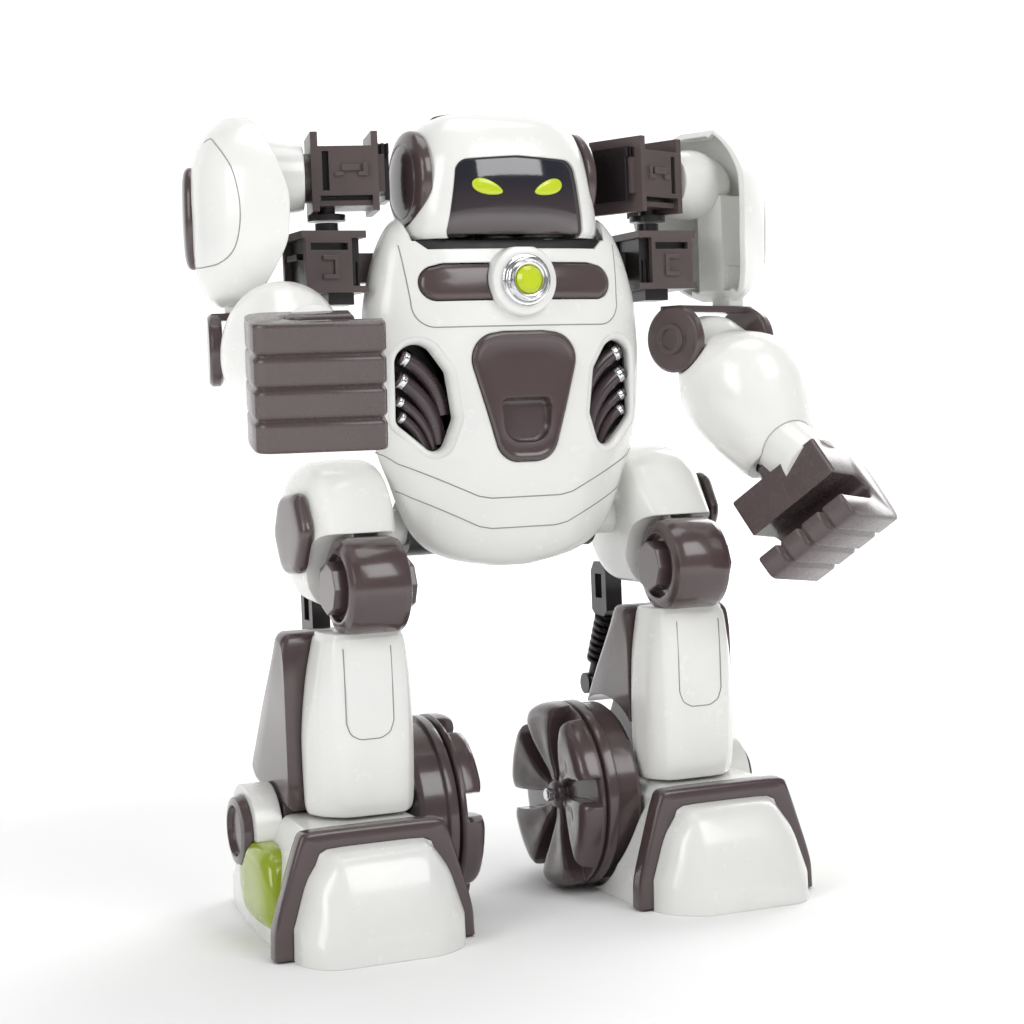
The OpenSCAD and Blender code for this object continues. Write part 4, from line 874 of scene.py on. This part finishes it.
def make_hipcap(s):
    pts = soften([(-20, 1), (-11, 16), (10, 14), (18, 0), (9, -15), (-10, -14)], 0.86, 3)
    rs = []
    for x, g in ((81.6, 0.98), (82.4, 1), (83.4, 1), (84.3, 0.985), (85.0, 0.95), (85.6, 0.89), (85.9, 0.81), (86.0, 0.7), (86.0, 0.3), (86.0, 0.02)):
        rs.append([(x, -6 + p[0] * g, HIP_Z + p[1] * g) for p in pts])
    o = loft("hipcap", rs)
    return move(o, MX) if s < 0 else o

def neck_arch(o):
    p = [(40 - o, 0.8), (40.4 - o, 12), (49.6 - o, 37 + o), (52.4 - o, 38.4 + o), (88.6 + o, 38.4 + o), (91.4 + o, 37 + o), (101.6 + o, 12), (102 + o, 0.8)]
    for _ in range(2):
        q = [p[0]]
        for i in range(len(p) - 1):
            a, b = np.array(p[i]), np.array(p[i + 1])
            q.append(tuple(a * 0.84 + b * 0.16)); q.append(tuple(a * 0.16 + b * 0.84))
        q.append(p[-1]); p = q
    return [(float(a), max(0.8, float(b))) for a, b in p]

def make_foot_collar(s):
    # section round the band: y against how far it stands out from the foot
    sec = [(-40.2, 0.15), (-40.2, 5.0), (-40.5, 5.9), (-41.3, 6.5), (-42.3, 6.6), (-46.3, 6.6), (-47.3, 6.5), (-48.1, 5.9), (-48.4, 5.0), (-48.4, 0.15)]
    rows = [neck_arch(o) for y, o in sec]
    n = len(rows[0])
    v = [(rows[j][i][0], sec[j][0], rows[j][i][1]) for j in range(len(sec)) for i in range(n)]
    m = len(sec)
    f = [(j * n + i, j * n + i + 1, ((j + 1) % m) * n + i + 1, ((j + 1) % m) * n + i) for j in range(m) for i in range(n - 1)]
    f += [tuple(j * n for j in range(m)), tuple(j * n + n - 1 for j in reversed(range(m)))]
    o = mesh_obj("footband", v, f)
    return move(o, MX) if s < 0 else o

def make_wheel(s):
    PR = [(5, 24.4), (9, 24.0), (14, 22.6), (20, 21.0), (26, 19.9), (31, 19.6), (34, 20.2), (35.6, 21.6), (36.3, 23.6), (36.5, 26.2)]
    pr = smooth_prof(PR, 4)
    U = [-1, -0.985, -0.94, -0.86, -0.7, -0.5, -0.25, 0, 0.25, 0.5, 0.7, 0.86, 0.94, 0.985, 1]
    parts = []
    for i in range(6):
        v, f = [], []
        def pt(r, x, u):
            hw = float(np.interp(r, [5, 10, 16, 24, 32, 36.5], [17, 15.5, 17.5, 20.5, 22.5, 21]))
            c = 42 + 60 * i + 9 * (r / 36.5) ** 1.5
            a = math.radians(c + hw * u)
            return (x, AX_Y - r * math.sin(a), AX_Z + r * math.cos(a))
        rows = [[pt(r, 28.2, u) for u in U] for r, x in pr[:1]]
        for r, x in pr:
            rows.append([pt(r, x + 0.9 * max(0.0, (abs(u) - 0.7) / 0.3) ** 2 + 0.8 * (1 - abs(u)) * max(0.0, 1 - abs(r - 22) / 9), u) for u in U])
        rows.append([pt(36.5, 28.2, u) for u in U])
        back = [[pt(r, 28.2, u) for u in U] for r, x in reversed(pr[1:-1])]
        g = rows + back
        n = len(U); m = len(g)
        v = [p for r in g for p in r]
        for j in range(m):
            k = (j + 1) % m
            for q in range(n - 1):
                f.append((j * n + q, j * n + q + 1, k * n + q + 1, k * n + q))
        # side walls, front row against its partner behind
        fr = list(range(1, len(pr) + 1)); M = len(pr)
        def partner(j):
            return 0 if j == 1 else (M + 1 if j == M else M + 2 + (M - 1 - j))
        for e, flip in ((0, False), (n - 1, True)):
            for j in fr[:-1]:
                a, b, c, d = j * n + e, (j + 1) * n + e, partner(j + 1) * n + e, partner(j) * n + e
                f.append((a, b, c, d) if flip else (d, c, b, a))
        parts.append(mesh_obj("claw", v, f))
    rim = turn("rim", [(0, 27), (33.6, 27), (34.6, 27.2), (36.2, 27.6), (36.5, 28.0), (36.5, 28.6), (36.1, 29.2), (35.4, 29.6), (0, 29.6)], AX_Y, AX_Z, 128)
    hub = turn("hub", [(0, 22.6), (3.6, 22.6), (4.6, 23.0), (5.6, 24.0), (6.2, 26.0), (6.2, 28), (0, 28)], AX_Y, AX_Z, 64)
    o = join(rim, hub, *parts)
    if s < 0:
        move(o, MX)
    return o

def make_axle(s):
    a = turn("axle", [(0, 19.8), (2.0, 19.8), (2.5, 20.2), (2.6, 20.8), (2.6, 22.7), (0, 22.7)], AX_Y, AX_Z, 48)
    b = turn("axle2", [(0, 29.5), (4, 29.5), (4, 37.9), (0, 37.9)], AX_Y, AX_Z, 48)
    o = join(a, b)
    if s < 0:
        move(o, MX)
    return o

for s in (-1, 1):
    nm = SIDE[s]
    put(make_foot_collar(s), TRIM, nm + "_foot", [nm + "_foot_collar"], nm + "_foot_band", 40)
    put(make_wheel(s), TRIM, nm + "_wheel", [nm + "_wheel_rotor"], nm + "_claw_wheel", 30)
    put(make_axle(s), CHROME, nm + "_wheel", [], nm + "_wheel_axle", 30)
    put(make_shin(s), SHELL, nm + "_shin", [nm + "_shin_shell"], nm + "_shin_moulding", 40)
    put(make_calf(s), TRIM, nm + "_shin", [nm + "_shin_panels"], nm + "_calf_moulding", 34)
    put(make_hipcap(s), TRIM, nm + "_thigh", [nm + "_hip_cap"], nm + "_hip_disc", 34)
    put(make_thigh(s), SHELL, nm + "_thigh", [nm + "_thigh_shell"], nm + "_thigh_moulding", 30)
    put(make_foot(s), SHELL, nm + "_foot", [nm + "_foot_base"], nm + "_foot_moulding", 30)
    put(make_lamp(s), LAMP, nm + "_foot", [nm + "_foot_lamp"], nm + "_foot_lens", 40)
    # U-shaped line on the shin's face, a grey tube whose colour is painted groove shade
    pts = [(58, 107), (58, 80), (59.5, 76), (63, 74), (71, 74), (74.5, 76), (76, 80), (76, 107)]
    q = np.array(pts, float)
    d = np.r_[0, np.cumsum(np.linalg.norm(np.diff(q, axis=0), axis=1))]
    out = []
    for t in np.linspace(0, d[-1], 60):
        x, z = float(np.interp(t, d, q[:, 0])), float(np.interp(t, d, q[:, 1]))
        y = float(np.interp(z, [46, 50, 70, 92, 106, 112.2], [-36, -37, -38, -38, -37.4, -36.4]))
        out.append((x * s, y + 0.03, z))
    ln = tube(nm + "_shin_line", out, 0.22, GROOVE_SHADE, 8)
    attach(ln, nm + "_shin")

# ---------------------------------------------------------------- finishes of the CAD pieces that stay
LOOK = {"chassis_frame": DARK, "collar_tray": BLACK_AND_SHADE, "battery_pack": CELL, "circuit_board": BOARD,
        "battery_cover": SHELL, "body_screws": CHROME, "lower_brackets": BRACKET, "lower_servos": DARK, "chest_button": LIME, "neck_post": TRIM}
for nm in ("right_", "left_"):
    LOOK.update({nm + "upper_bracket": BRACKET, nm + "arm_servo": DARK, nm + "elbow_fork": TRIM, nm + "hip_cap": TRIM, nm + "knee_pin": TRIM,
                 nm + "knee_drum": TRIM, nm + "shin_shell": SHELL, nm + "shin_panels": TRIM, nm + "rear_strut": DARK, nm + "wheel_housing": TRIM,
                 nm + "wheel_rotor": TRIM, nm + "foot_collar": TRIM, nm + "ankle_cap": TRIM})
for node, mat in LOOK.items():
    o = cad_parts[node]
    me = o.data
    me.materials.clear(); me.materials.append(mat)
    me.polygons.foreach_set("material_index", [0] * len(me.polygons))
    me.polygons.foreach_set("use_smooth", [True] * len(me.polygons))
    a = me.attributes.get("custom_normal")
    if a:
        me.attributes.remove(a)
    w = o.modifiers.new("weld", "WELD"); w.merge_threshold = 2e-6
    ev = o.modifiers.new("edges", "EDGE_SPLIT"); ev.split_angle = math.radians(28); ev.use_edge_sharp = False

# ---------------------------------------------------------------- stage, light and camera
def backdrop():
    rows = []
    prof = [(-6.0, 0.0), (1.6, 0.0)] + [(1.6 + 1.2 * math.sin(math.radians(a)), 1.2 - 1.2 * math.cos(math.radians(a))) for a in range(6, 91, 6)] + [(2.8, 5.0)]
    v, f = [], []
    # the sweep stands square to the camera's view
    ang = math.atan2(0.392, 0.919)
    for y, z in prof:
        for x in (-7.0, 7.0):
            X, Y = x, y
            v.append(((X * math.cos(ang) + Y * math.sin(ang)) / MM, (-X * math.sin(ang) + Y * math.cos(ang)) / MM, z / MM))
    for i in range(len(prof) - 1):
        f.append((2 * i, 2 * i + 1, 2 * i + 3, 2 * i + 2))
    o = mesh_obj("backdrop", v, f)
    m = principled("paper", (0.93, 0.93, 0.93), 0.75, bevel=0, speck_scale=600.0, rvar=0.03, tint=(0.925, 0.925, 0.925), emit=0.30)
    # painted light: the paper's emission grows with distance from the origin, so the horizon goes white and the
    # rendered contact shadow near the feet stays
    nt = m.node_tree; n = nt.nodes; l = nt.links
    b = [x for x in n if x.type == "BSDF_PRINCIPLED"][0]
    tc = n.new("ShaderNodeTexCoord"); ln = n.new("ShaderNodeVectorMath"); ln.operation = "LENGTH"
    mr = n.new("ShaderNodeMapRange"); mr.interpolation_type = "SMOOTHSTEP"
    mr.inputs["From Min"].default_value = 0.16; mr.inputs["From Max"].default_value = 0.9
    mr.inputs["To Min"].default_value = 0.0; mr.inputs["To Max"].default_value = 0.62
    l.new(tc.outputs["Object"], ln.inputs[0]); l.new(ln.outputs["Value"], mr.inputs["Value"]); l.new(mr.outputs[0], b.inputs["Emission Strength"])
    o.data.materials.append(m)

backdrop()

def area(name, loc, target, size, energy, color=(1, 1, 1)):
    d = bpy.data.lights.new(name, "AREA"); d.shape = "RECTANGLE"; d.size = size[0]; d.size_y = size[1]; d.energy = energy; d.color = color
    o = bpy.data.objects.new(name, d); SC.collection.objects.link(o)
    o.location = loc
    o.rotation_euler = (Vector(target) - Vector(loc)).to_track_quat("-Z", "Y").to_euler()
    return o

area("key", (0.45, -1.35, 1.2), (0, 0, 0.16), (0.9, 0.9), 11.5)
area("fill", (-1.45, -0.75, 0.85), (0, 0, 0.16), (0.6, 1.1), 9.5)
area("top", (0.1, 0.1, 1.7), (0, 0, 0.1), (1.0, 1.0), 7.5)
area("rim", (1.1, 0.7, 0.8), (0, 0, 0.2), (0.7, 0.9), 7)
w = bpy.data.worlds.new("studio"); SC.world = w; w.use_nodes = True
bg = w.node_tree.nodes["Background"]; bg.inputs[0].default_value = (1, 1, 1, 1); bg.inputs[1].default_value = 0.27

cam = bpy.data.cameras.new("cam"); co = bpy.data.objects.new("cam", cam); SC.collection.objects.link(co); SC.camera = co
cam.lens = 36 * 2076.68 / 1024; cam.sensor_width = 36; cam.clip_start = 0.01; cam.clip_end = 50
back = Vector((-0.392, -0.919, 0.050)).normalized()
right = Vector((0.919, -0.394, -0.036)); right = (right - back * right.dot(back)).normalized()
up = back.cross(right)
co.matrix_world = Matrix(((right.x, up.x, back.x, -0.3081), (right.y, up.y, back.y, -0.7394), (right.z, up.z, back.z, 0.1906), (0, 0, 0, 1)))
SC.view_settings.view_transform = "Standard"
